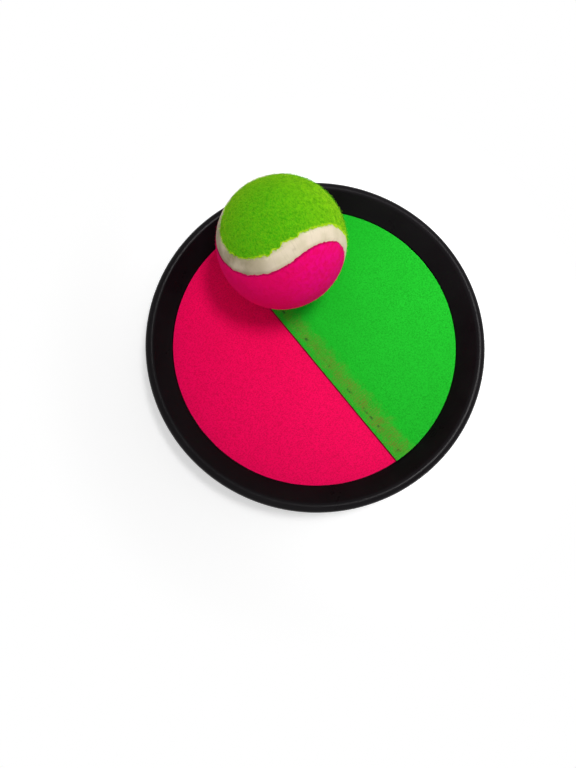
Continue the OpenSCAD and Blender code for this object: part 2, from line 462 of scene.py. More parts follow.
class MakerTree(Nodes):
    """A Geometry Nodes tree with named inputs that ends in plain, dressed geometry."""

    KINDS = {int: "NodeSocketInt", float: "NodeSocketFloat", object: "NodeSocketObject"}
    SIZE_STEP = 7

    def __init__(self, name: str, **inputs: Any) -> None:
        """Opens the tree.

        Args:
            name: The tree's name.
            inputs: Default value of each named input, or object for one that takes an object.
        """
        super().__init__(bpy.data.node_groups.new(name, "GeometryNodeTree"))
        face = self.tree.interface
        face.new_socket("Geometry", in_out="OUTPUT", socket_type="NodeSocketGeometry")
        face.new_socket("Geometry", in_out="INPUT", socket_type="NodeSocketGeometry")
        face.new_socket("Material", in_out="INPUT", socket_type="NodeSocketMaterial")
        for label, value in inputs.items():
            kind = object if value is object else type(value)
            socket = face.new_socket(label, in_out="INPUT", socket_type=self.KINDS[kind])
            if kind is not object:
                socket.default_value = value
        self.given = self.tree.nodes.new("NodeGroupInput").outputs

    def chance(self, low: Any, high: Any, seed_step: int) -> Socket:
        """A random number for each point, with a step added to the seed so that each use differs."""
        inputs = {2: low, 3: high, "Seed": self.plus(self.given["Seed"], float(seed_step))}
        return self.add("FunctionNodeRandomValue", inputs, data_type="FLOAT").outputs[1]

    def about(self, axis: Corner, angle: Socket) -> Socket:
        """A turn about an axis, by an angle in radians."""
        return self.add("FunctionNodeAxisAngleToRotation", {"Axis": axis, "Angle": angle}).outputs[0]

    def about_z(self, angle: Socket) -> Socket:
        """A turn about the Z axis, by an angle in radians."""
        euler = self.add("ShaderNodeCombineXYZ", {"Z": angle})
        return self.add("FunctionNodeEulerToRotation", {"Euler": euler.outputs[0]}).outputs[0]

    def then(self, first: Socket, second: Socket) -> Socket:
        """A turn followed by another about its own axes."""
        inputs = {"Rotation": first, "Rotate By": second}
        return self.add("FunctionNodeRotateRotation", inputs, rotation_space="LOCAL").outputs[0]

    def shape(self) -> Socket:
        """The geometry of the object given as the input Shape."""
        return self.add("GeometryNodeObjectInfo", {"Object": self.given["Shape"]}).outputs["Geometry"]

    def size(self) -> Socket:
        """A random size for each point, from the input Smallest to the input Largest."""
        return self.chance(self.given["Smallest"], self.given["Largest"], self.SIZE_STEP)

    def copies(self, points: Socket, shape: Socket, turn: Socket, **more: Socket) -> "MakerTree":
        """Ends the tree in a turned copy of a shape on each point, with more of the node's inputs set."""
        inputs = {"Points": points, "Instance": shape, "Rotation": turn, **more}
        return self.close(self.add("GeometryNodeInstanceOnPoints", inputs).outputs[0])

    def close(self, geometry: Socket) -> "MakerTree":
        """Ends the tree in realized, dressed geometry.

        Args:
            geometry: The output that holds instances or a mesh.

        Returns:
            The tree.
        """
        real = self.add("GeometryNodeRealizeInstances", {"Geometry": geometry})
        inputs = {"Geometry": real.outputs[0], "Material": self.given["Material"]}
        dressed = self.add("GeometryNodeSetMaterial", inputs)
        self.add("NodeGroupOutput", {"Geometry": dressed.outputs[0]})
        return self

    def run(self, host: Object, material: Material, **values: Any) -> Object:
        """Runs the tree on an object and keeps the result as its plain mesh.

        Args:
            host: The object that gives the tree its geometry.
            material: The finish of what is made.
            values: The tree's inputs by name.

        Returns:
            The host with its new mesh.
        """
        modifier = host.modifiers.new(self.tree.name, "NODES")
        modifier.node_group = self.tree
        values["Material"] = material
        for item in self.tree.interface.items_tree:
            if item.in_out == "INPUT" and item.name in values:
                modifier[item.identifier] = values[item.name]
        return bake(host)

    def spread(self, thread: Thread, host: Object, material: Material, **values: Any) -> Object:
        """Runs the tree with a thread as the shape that it repeats.

        Args:
            thread: The thread.
            host: The object that gives the tree its geometry.
            material: The finish of what is made.
            values: The tree's other inputs by name.

        Returns:
            The host with its new mesh.
        """
        shape = thread.shape()
        made = self.run(host, material, Shape=shape, **values)
        discard(shape)
        return made


def turned_tree() -> MakerTree:
    """Makes the tree that turns a section about the Z axis.

    The section lies in its own XY plane: X is the distance from the axis less Radius, Y is depth.

    Returns:
        The tree.
    """
    made = MakerTree("turned_section", Segments=240, Radius=0.05)
    around = {"Resolution": made.given["Segments"], "Radius": made.given["Radius"]}
    circle = made.add("GeometryNodeCurvePrimitiveCircle", around)
    section = made.add("GeometryNodeMeshToCurve", {"Mesh": made.given["Geometry"]})
    lines = {"Curve": circle.outputs["Curve"], "Profile Curve": section.outputs["Curve"]}
    swept = made.add("GeometryNodeCurveToMesh", lines)
    doubles = {"Geometry": swept.outputs["Mesh"], "Distance": 1e-6}
    return made.close(made.add("GeometryNodeMergeByDistance", doubles).outputs["Geometry"])


def ring_tree() -> MakerTree:
    """Makes the tree that repeats a piece evenly round the Z axis.

    Returns:
        The tree, which starts half a step on.
    """
    made = MakerTree("ring_of_ribs", Count=24)
    points = made.add("GeometryNodePoints", {"Count": made.given["Count"]})
    half = made.plus(made.add("GeometryNodeInputIndex").outputs[0], 0.5)
    share = made.math("DIVIDE", half, made.given["Count"])
    turn = made.about_z(made.times(share, 2 * math.pi))
    return made.copies(points.outputs[0], made.given["Geometry"], turn)


@cache
def rows_tree() -> MakerTree:
    """Makes the tree that sets a shape on each point of a mesh.

    Returns:
        The tree, which gives each copy its point's own turn and a little more.
    """
    made = MakerTree("rows_of_hooks", Shape=object, Seed=1, Jitter=0.4, Smallest=0.85, Largest=1.1)
    turn = made.add("GeometryNodeInputNamedAttribute", {"Name": "turn"}, data_type="FLOAT")
    extra = made.chance(made.times(made.given["Jitter"], -1.0), made.given["Jitter"], seed_step=0)
    turned = made.about_z(made.plus(turn.outputs[0], extra))
    return made.copies(made.given["Geometry"], made.shape(), turned, Scale=made.size())


@cache
def nap_tree() -> MakerTree:
    """Makes the tree that scatters a shape over a surface.

    Returns:
        The tree, whose copies lean every way.
    """
    made = MakerTree(
        "scattered_nap", Shape=object, Seed=1, Density=1.0e6, Lean=1.0, Smallest=0.6, Largest=1.2
    )
    given = made.given
    spread = {"Mesh": given["Geometry"], "Density": given["Density"], "Seed": given["Seed"]}
    points = made.add("GeometryNodeDistributePointsOnFaces", spread).outputs
    spin = made.about((0.0, 0.0, 1.0), made.chance(0.0, 2 * math.pi, seed_step=3))
    lean = made.about((0.0, 1.0, 0.0), made.chance(0.0, given["Lean"], seed_step=5))
    turned = made.then(made.then(points["Rotation"], spin), lean)
    return made.copies(points["Points"], made.shape(), turned, Scale=made.size())


@cache
def stitch_tree() -> MakerTree:
    """Makes the tree that sets a stitch at every step along a mesh's edges.

    Returns:
        The tree, whose stitches lie in line with the edges.
    """
    made = MakerTree("sewn_line", Shape=object, Seed=1, Pitch=0.0028, Smallest=0.9, Largest=1.08)
    curve = made.add("GeometryNodeMeshToCurve", {"Mesh": made.given["Geometry"]})
    steps = {"Curve": curve.outputs[0], "Length": made.given["Pitch"]}
    even = made.add("GeometryNodeResampleCurve", steps, mode="LENGTH")
    tangent = {"Vector": made.add("GeometryNodeInputTangent").outputs[0]}
    aligned = made.add("FunctionNodeAlignRotationToVector", tangent, axis="X", pivot_axis="Z")
    return made.copies(even.outputs[0], made.shape(), aligned.outputs[0], Scale=made.size())


# Finishes


@dataclass(frozen=True)
class Mottle:
    """Noise of one kind.

    Its scale is in bumps to the metre, detail counts its finer layers and rough is their strength.
    The span, where there is one, holds the two values that are carried to 0 and 1, or to the two
    results that follow them. The stretch, where there is one, is of the object's own place.
    """

    scale: float
    detail: float = 2.0
    rough: float = 0.5
    span: tuple[float, ...] = ()
    stretch: Corner | None = None


class Paint(Nodes):
    """The nodes of one material, with short names for those that the finishes share."""

    def __init__(self, name: str) -> None:
        """Opens an empty material with one surface shader.

        Args:
            name: The material's name.
        """
        self.material = bpy.data.materials.new(name)
        self.material.use_nodes = True
        super().__init__(self.material.node_tree)
        self.tree.nodes.clear()
        self.shader = self.add("ShaderNodeBsdfPrincipled")
        self.output = self.add("ShaderNodeOutputMaterial", {"Surface": self.shader.outputs[0]})
        self.place = self.add("ShaderNodeTexCoord").outputs["Object"]

    def attribute(self, name: str) -> Socket:
        """A number that the mesh keeps for each point."""
        return self.add("ShaderNodeAttribute", attribute_name=name).outputs["Fac"]

    def axes(self, place: Socket | None = None) -> Any:
        """The X, Y and Z of a place, the object's own place if left out."""
        return self.add("ShaderNodeSeparateXYZ", {"Vector": place or self.place}).outputs

    def scaled(self, stretch: Corner) -> Socket:
        """The object's own place, stretched along each axis."""
        return self.add("ShaderNodeMapping", {"Vector": self.place, "Scale": stretch}).outputs[0]

    def vector(self, operation: str, a: Any, b: Corner = (0.0, 0.0, 0.0)) -> Socket:
        """A number worked out from one or two vectors."""
        return self.add("ShaderNodeVectorMath", {0: a, 1: b}, operation=operation).outputs["Value"]

    def apart(self, a: Any, b: Any) -> Socket:
        """How far apart two numbers or outputs are."""
        return self.math("ABSOLUTE", self.minus(a, b))

    def noise(self, kind: Mottle, place: Socket | None = None) -> Socket:
        """Adds noise.

        Args:
            kind: The kind of noise.
            place: Where it is read, the object's own place if left out.

        Returns:
            The output that holds it.
        """
        if place is None:
            place = self.scaled(kind.stretch) if kind.stretch else self.place
        inputs = {"Vector": place, "Scale": kind.scale, "Detail": kind.detail, "Roughness": kind.rough}
        value = self.add("ShaderNodeTexNoise", inputs).outputs[0]
        return self.span(value, *kind.span) if kind.span else value

    def span(self, value: Any, low: float, high: float, start: float = 0.0, end: float = 1.0) -> Socket:
        """A value carried smoothly from the span low to high over to the span start to end."""
        inputs = {"Value": value, "From Min": low, "From Max": high, "To Min": start, "To Max": end}
        return self.add("ShaderNodeMapRange", inputs, interpolation_type="SMOOTHSTEP").outputs[0]

    def mix(self, share: Any, a: Any, b: Any) -> Socket:
        """A colour between two others, each a colour or an output, with a share of the second."""
        a, b = ((*c, 1.0) if isinstance(c, tuple) else c for c in (a, b))
        return self.add("ShaderNodeMix", {0: share, 6: a, 7: b}, data_type="RGBA").outputs[2]

    def bump(self, height: Any, depth: float, strength: float, under: Socket | None = None) -> Socket:
        """Adds a bump.

        Args:
            height: What gives its height, from 0 to 1.
            depth: The height that 1 stands for, in metres.
            strength: How strongly it shows.
            under: The bump that it lies on, if any.

        Returns:
            The output that holds the normal.
        """
        inputs = {"Height": height, "Distance": depth, "Strength": strength}
        if under is not None:
            inputs["Normal"] = under
        return self.add("ShaderNodeBump", inputs).outputs[0]

    def done(self, colour: Any, rough: Any, gloss: float, **inputs: Any) -> Material:
        """Sets the shader's inputs.

        Args:
            colour: The colour, three numbers or an output.
            rough: The roughness, a number or an output.
            gloss: The strength of mirrored light.
            inputs: Others by name, with _ for spaces.

        Returns:
            The finished material.
        """
        inputs |= {"Base Color": colour, "Roughness": rough, "Specular IOR Level": gloss}
        for key, value in inputs.items():
            socket = self.shader.inputs[key.replace("_", " ")]
            if isinstance(value, Socket):
                self.tree.links.new(value, socket)
            elif isinstance(value, tuple) and len(value) == 3 and len(socket.default_value) == 4:
                socket.default_value = (*value, 1.0)
            else:
                socket.default_value = value
        return self.material


@dataclass(frozen=True)
class MouldedPlastic:
    """Black moulded plastic, finely grained, faintly scuffed; smooth in front, matt and painted lighter at
    the back.
    """

    name: str = "moulded_black"
    deep: Colour = (0.0026, 0.0016, 0.0024)
    worn: Colour = (0.0062, 0.0050, 0.0062)
    # Painted lift: the back is the same plastic as the front, painted lighter so that its shapes show in
    # dim light.
    back: Colour = (0.0085, 0.0085, 0.0092)
    back_worn: Colour = (0.0165, 0.0165, 0.0175)
    gloss: float = 0.075
    clouds: Mottle = Mottle(60, 4)
    cloud_rough: tuple[float, ...] = (0.3, 0.7, 0.27, 0.35)
    scuffs: Mottle = Mottle(160, 6, 0.7, (0.58, 0.72), (1.0, 1.0, 6.0))
    scuff_share: float = 0.5
    scuff_rough: float = 0.12
    back_rough: float = 0.22
    meet_half: float = 0.0002
    grain: Mottle = Mottle(2400)
    grain_bump: Flat = (0.00003, 0.35)

    def material(self, turn_r: float, rise: float, floor_z: float, parting_z: float) -> Material:
        """The finish as a material.

        Its front and back meet inside the wall and at the mould's parting line.

        Args:
            turn_r: Distance from the axis where the floor turns up into the wall.
            rise: The wall's climb for each step outwards.
            floor_z: Height of the middle of the floor.
            parting_z: Height of the parting line round the rim.

        Returns:
            The material.
        """
        paint = Paint(self.name)
        away = paint.vector("LENGTH", paint.scaled((1.0, 1.0, 0.0)))
        climb = paint.times(paint.minus(away, turn_r), rise)
        middle = paint.plus(paint.math("MAXIMUM", climb, 0.0), floor_z)
        middle = paint.math("MINIMUM", middle, parting_z)
        under = paint.span(paint.minus(middle, paint.axes()["Z"]), -self.meet_half, self.meet_half)
        cloud, scuff = paint.noise(self.clouds), paint.noise(self.scuffs)
        faint = paint.times(scuff, self.scuff_share)
        front = paint.mix(faint, paint.mix(cloud, self.deep, self.worn), self.worn)
        # Painted lift: the back mixes the lighter colours.
        back = paint.mix(faint, paint.mix(cloud, self.back, self.back_worn), self.back_worn)
        rough = paint.plus(paint.span(cloud, *self.cloud_rough), paint.times(scuff, self.scuff_rough))
        rough = paint.plus(rough, paint.times(under, self.back_rough))
        grain = paint.bump(paint.noise(self.grain), *self.grain_bump)
        return paint.done(paint.mix(under, front, back), rough, self.gloss, Normal=grain)


@dataclass(frozen=True)
class HookCloth:
    """Dyed nylon with rows of hooks.

    Where a strip is given, what lies under it shows through there. Where a tuck is given, the sheet goes
    under another from there on, with a painted shade beside it. Both are in millimetres across the face.
    """

    name: str
    colour: Colour
    deep: Colour
    strip: Flat | None = None
    tuck: float | None = None
    rough: float = 0.6
    gloss: float = 0.04
    specks: Mottle = Mottle(1500, span=(0.28, 0.62))
    clouds: Mottle = Mottle(45, 3, span=(0.25, 0.65, 0.82, 1.0))
    weave: Mottle = Mottle(2200)
    weave_bump: Flat = (0.0001, 0.5)
    # Painted shade: a dark line beside the tuck, in place of the shadow of the sheet above.
    shade: Colour = (0.05, 0.0, 0.004)
    shade_from: Flat = (-0.0009, -0.0002)
    shade_share: float = 0.75
    under: Colour = (0.175, 0.195, 0.024)
    under_slant: float = 0.02
    under_start: Flat = (0.0004, 0.0044)
    under_least: float = 0.22
    under_end: Flat = (-0.0048, 0.0026)
    under_along: tuple[float, ...] = (-0.06, 0.04, 1.12, 0.6)
    ragged: Mottle = Mottle(260, 5, 0.65, (0.3, 0.7, -0.0022, 0.0022))
    patches: Mottle = Mottle(300, 6, 0.7, (0.34, 0.66, 0.38, 1.15))
    line_pitch: float = 0.0013
    line_share: Flat = (0.30, 0.80)
    sway: Mottle = Mottle(300, 3)
    sway_turn: float = 8.0
    prick: Colour = (0.012, 0.085, 0.02)
    prick_in: float = 0.0041
    prick_half: Flat = (0.0003, 0.0009)
    pricks: Mottle = Mottle(430, span=(0.55, 0.66, 0.0, 0.75), stretch=(0.25, 1.0, 0.1))

    def material(self) -> Material:
        """Mixes the finish.

        Returns:
            The material.
        """
        paint = Paint(self.name)
        share = paint.times(paint.noise(self.specks), paint.noise(self.clouds))
        colour = paint.mix(share, self.deep, self.colour)
        x, y, _ = paint.axes()
        if self.tuck is not None:
            # Painted shade beside the tuck, in place of the shadow of the sheet above.
            start, end = (self.tuck * MM + off for off in self.shade_from)
            colour = paint.mix(paint.span(x, start, end, 0.0, self.shade_share), colour, self.shade)
        if self.strip:
            colour = paint.mix(self.shown_through(paint, x, y), colour, self.under)
            colour = paint.mix(self.pricked(paint, x), colour, self.prick)
        weave = paint.bump(paint.noise(self.weave), *self.weave_bump)
        return paint.done(colour, self.rough, self.gloss, Normal=weave)

    def shown_through(self, paint: Paint, x: Socket, y: Socket) -> Socket:
        """How much of what lies under the strip shows, in fine lines across it.

        Args:
            paint: The material's nodes.
            x: The place across the strip.
            y: The place along the strip.

        Returns:
            The output that holds the share.
        """
        low, high = (MM * value for value in self.strip)
        edge = paint.plus(x, paint.noise(self.ragged))
        slanted = paint.plus(edge, paint.times(y, self.under_slant))
        starts = paint.span(edge, *(low + off for off in self.under_start), self.under_least, 1.0)
        ends = paint.span(slanted, *(high + off for off in self.under_end), 1.0, 0.0)
        band = paint.times(paint.times(starts, ends), paint.span(y, *self.under_along))
        sway = paint.times(paint.noise(self.sway), self.sway_turn)
        turns = paint.plus(paint.times(y, 2 * math.pi / self.line_pitch), sway)
        lines = paint.span(paint.math("SINE", turns), -1.0, 1.0, *self.line_share)
        return paint.times(paint.times(band, lines), paint.noise(self.patches))

    def pricked(self, paint: Paint, x: Socket) -> Socket:
        """The share of the prick's colour where the needle parted the hooks, in a row at one x."""
        off = paint.apart(x, self.strip[0] * MM + self.prick_in)
        return paint.times(paint.span(off, *self.prick_half, 1.0, 0.0), paint.noise(self.pricks))


@dataclass(frozen=True)
class Felt:
    """Napped felt, painted lighter towards the main lamp, its cut edges painted in rim, its silhouette in
    bloom.
    """

    name: str
    colour: Colour
    deep: Colour
    light: Colour
    # Painted light at the cut edges: a painted highlight on the lime, a painted shade on the magenta.
    rim: Colour
    bloom: Colour
    # Painted light: the lighter tone on the side that the main lamp lights, with its direction and span.
    faded: Colour
    sheen: float
    fade_to: Corner
    fade: Flat
    rough: float = 0.9
    gloss: float = 0.06
    sheen_rough: float = 0.4
    clumps: Mottle = Mottle(520, 5, 0.65, (0.32, 0.66))
    clump_bump: Flat = (0.0005, 0.5)
    fibres: Mottle = Mottle(2600, 3, span=(0.3, 0.68), stretch=(1.0, 0.35, 0.6))
    fibre_bump: Flat = (0.0002, 0.6)
    fibre_share: float = 0.45
    rim_in: Flat = (0.5, 1.4)

    def material(self) -> Material:
        """Mixes the finish.

        Returns:
            The material.
        """
        paint = Paint(self.name)
        clump, fibre = paint.noise(self.clumps), paint.noise(self.fibres)
        # Painted light: the dye turns lighter towards the side that the main lamp lights.
        way = paint.vector("DOT_PRODUCT", paint.place, self.fade_to)
        painted_lit_dye = paint.mix(paint.span(way, *self.fade), self.colour, self.faded)
        colour = paint.mix(clump, self.deep, painted_lit_dye)
        colour = paint.mix(paint.times(fibre, self.fibre_share), colour, self.light)
        # Painted light: the cut edges are mixed towards the edge colour.
        rim = paint.span(paint.attribute("edge"), *self.rim_in, 1.0, 0.0)
        pile = paint.bump(fibre, *self.fibre_bump, paint.bump(clump, *self.clump_bump))
        return paint.done(
            paint.mix(rim, colour, self.rim), self.rough, self.gloss, Normal=pile,
            Sheen_Weight=self.sheen, Sheen_Roughness=self.sheen_rough, Sheen_Tint=self.bloom,
        )


@dataclass(frozen=True)
class Strand:
    """Loose fibres of one dye, painted lighter towards their tips as painted sheen."""

    name: str
    colour: Colour
    light: Colour
    rough: float = 0.75
    gloss: float = 0.1
    light_from: Flat = (0.2, 1.0)
    clouds: Mottle = Mottle(700, 3, span=(0.3, 0.7, 0.3, 1.0))

    def material(self) -> Material:
        """Mixes the finish.

        Returns:
            The material.
        """
        paint = Paint(self.name)
        # Painted sheen: the tips are mixed towards the light colour, for light shining through the fibres.
        tip = paint.span(paint.attribute("tip"), *self.light_from)
        colour = paint.mix(paint.times(tip, paint.noise(self.clouds)), self.colour, self.light)
        return paint.done(colour, self.rough, self.gloss)


@dataclass(frozen=True)
class SeamCompound:
    """Cream rubber in the ball's seam, creased across with painted shade in the creases, grubby at its
    sides.

    The creases, the sides and the darker place are laid out in millimetres along and across the seam.
    """

    name: str = "seam_cream"
    colour: Colour = (0.83, 0.72, 0.55)
    # Painted shade in the creases.
    crease: Colour = (0.55, 0.45, 0.30)
    grubby: Colour = (0.72, 0.63, 0.44)
    soiled: Colour = (0.32, 0.26, 0.155)
    rough: float = 0.68
    gloss: float = 0.35
    creases: Mottle = Mottle(0.2, 1)
    crease_across: float = 0.12
    crease_half: float = 0.008
    crease_share: float = 0.4
    crease_bump: Flat = (0.0002, 0.5)
    stains: Mottle = Mottle(130, 3, span=(0.35, 0.7))
    sides: tuple[float, ...] = (2.6, 3.8, 0.0, 0.8)
    soiled_at: float = 123.0
    soiled_half: Flat = (9.0, 32.0)
    smears: Mottle = Mottle(90, 4, span=(0.1, 0.6))
    grain: Mottle = Mottle(1300, 3)
    grain_bump: Flat = (0.00008, 0.4)

    def material(self) -> Material:
        """Mixes the finish.

        Returns:
            The material.
        """
        paint = Paint(self.name)
        along, across = paint.attribute("along"), paint.attribute("across")
        laid = {"X": along, "Y": paint.times(across, self.crease_across)}
        lines = paint.noise(self.creases, paint.add("ShaderNodeCombineXYZ", laid).outputs[0])
        crease = paint.span(paint.apart(lines, 0.5), 0.0, self.crease_half, 1.0, 0.0)
        colour = paint.mix(paint.noise(self.stains), self.colour, self.grubby)
        colour = paint.mix(paint.span(paint.math("ABSOLUTE", across), *self.sides), colour, self.grubby)
        # Darker round one place along the seam, with a mottle.
        near = paint.span(paint.apart(along, self.soiled_at), *self.soiled_half, 1.0, 0.0)
        colour = paint.mix(paint.times(near, paint.noise(self.smears)), colour, self.soiled)
        # Painted shade: darker in the creases.
        colour = paint.mix(paint.times(crease, self.crease_share), colour, self.crease)
        grain = paint.bump(paint.noise(self.grain), *self.grain_bump)
        normal = paint.bump(paint.minus(1.0, crease), *self.crease_bump, grain)
        return paint.done(colour, self.rough, self.gloss, Normal=normal)


@dataclass(frozen=True)
class Webbing:
    """Black woven nylon, its weave laid out along the strap's own length and width."""

    name: str = "strap_nylon"
    deep: Colour = (0.010, 0.010, 0.011)
    light: Colour = (0.036, 0.036, 0.039)
    rough: float = 0.55
    gloss: float = 0.4
    sheen: float = 0.1
    sheen_rough: float = 0.4
    weft: float = 0.0011
    warp: float = 0.00127
    weave_bump: Flat = (0.00018, 0.8)
    fuzz: Mottle = Mottle(1800, 3)
    fuzz_share: tuple[float, ...] = (0.3, 0.7, 0.5, 1.0)
    fuzz_bump: Flat = (0.0001, 0.4)
    wear: Mottle = Mottle(90, 4, span=(0.55, 0.75, 0.0, 0.4))

    def material(self) -> Material:
        """Mixes the finish.

        Returns:
            The material.
        """
        paint = Paint(self.name)
        laid = paint.axes(paint.add("ShaderNodeUVMap", uv_map="laid").outputs[0])
        rows = paint.math("SINE", paint.times(laid["X"], 2 * math.pi / self.weft))
        ribs = paint.math("SINE", paint.times(laid["Y"], 2 * math.pi / self.warp))
        cross = paint.span(paint.times(rows, ribs), -1.0, 1.0)
        fuzz = paint.noise(self.fuzz)
        share = paint.times(cross, paint.span(fuzz, *self.fuzz_share))
        colour = paint.mix(paint.math("MAXIMUM", share, paint.noise(self.wear)), self.deep, self.light)
        normal = paint.bump(cross, *self.weave_bump, paint.bump(fuzz, *self.fuzz_bump))
        return paint.done(
            colour, self.rough, self.gloss, Normal=normal, Sheen_Weight=self.sheen,
            Sheen_Roughness=self.sheen_rough,
        )


@dataclass(frozen=True)
class Plain:
    """A matt surface with a slow mottle and a fine grain, such as board, rubber, tape or thread."""

    name: str
    colour: Colour
    other: Colour
    rough: float = 0.7
    grain: float = 1500.0
    gloss: float = 0.4
    slower: float = 12.0
    grain_bump: Flat = (0.00008, 0.6)

    def material(self) -> Material:
        """Mixes the finish.

        Returns:
            The material.
        """
        paint = Paint(self.name)
        slow = paint.noise(Mottle(self.grain / self.slower, 4, span=(0.3, 0.7)))
        fine = paint.noise(Mottle(self.grain, 3))
        colour = paint.mix(paint.times(slow, fine), self.colour, self.other)
        return paint.done(colour, self.rough, self.gloss, Normal=paint.bump(fine, *self.grain_bump))


# What the sub-assemblies share


def dress(
    piece: Object, body: Body, slot: Slot, material: Material | None = None, stands_for: Sequence[str] = ()
) -> Object:
    """Gives a finished piece its material and body, and reports it with its slot.

    Args:
        piece: The plain mesh object.
        body: The body that it moves with.
        slot: The record's slot for its finish.
        material: Its material, left out where its tree has set one.
        stands_for: The solids that it is shown in place of.

    Returns:
        The piece.
    """
    if material is not None:
        piece.data.materials.clear()
        piece.data.materials.append(material)
    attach(piece, body.value)
    report(piece, slot, stands_for)
    return piece


def report(piece: Object, slot: Slot, stands_for: Sequence[str]) -> None:
    """Hides the solids that a piece is shown in place of, and logs its slot and triangles.

    Args:
        piece: The piece.
        slot: The record's slot for its finish.
        stands_for: The solids that it is shown in place of.
    """
    if stands_for:
        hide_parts(*stands_for)
    triangles = sum(len(face.vertices) - 2 for face in piece.data.polygons)
    LOG.info("%s: %d triangles, %s", piece.name, triangles, slot.value)


def recolour(node: str, material: Material) -> None:
    """Gives another material to a solid that is shown as it is."""
    for held in frame["nodes"][node].material_slots:
        held.material = material


def box_mm(node: str) -> Box:
    """Lowest and highest corner of a solid, in millimetres."""
    low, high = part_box(node)
    return low / MM, high / MM


def strap_bar() -> Flat:
    """Distance of both strap bars from the middle, and their height, in millimetres."""
    hinge = next(joint for joint in frame["joints"] if joint["child"] == Body.TAIL.value)
    return hinge["pos_m"][0] / MM, hinge["pos_m"][2] / MM


HOOK = Thread(
    "hook_shape",
    ((0, 0), (0, 0.26), (0.03, 0.46), (0.16, 0.6), (0.31, 0.55), (0.36, 0.4)),
    (0.12, 0.1, 0.1, 0.1, 0.09, 0.07),
)


# Sub-assemblies


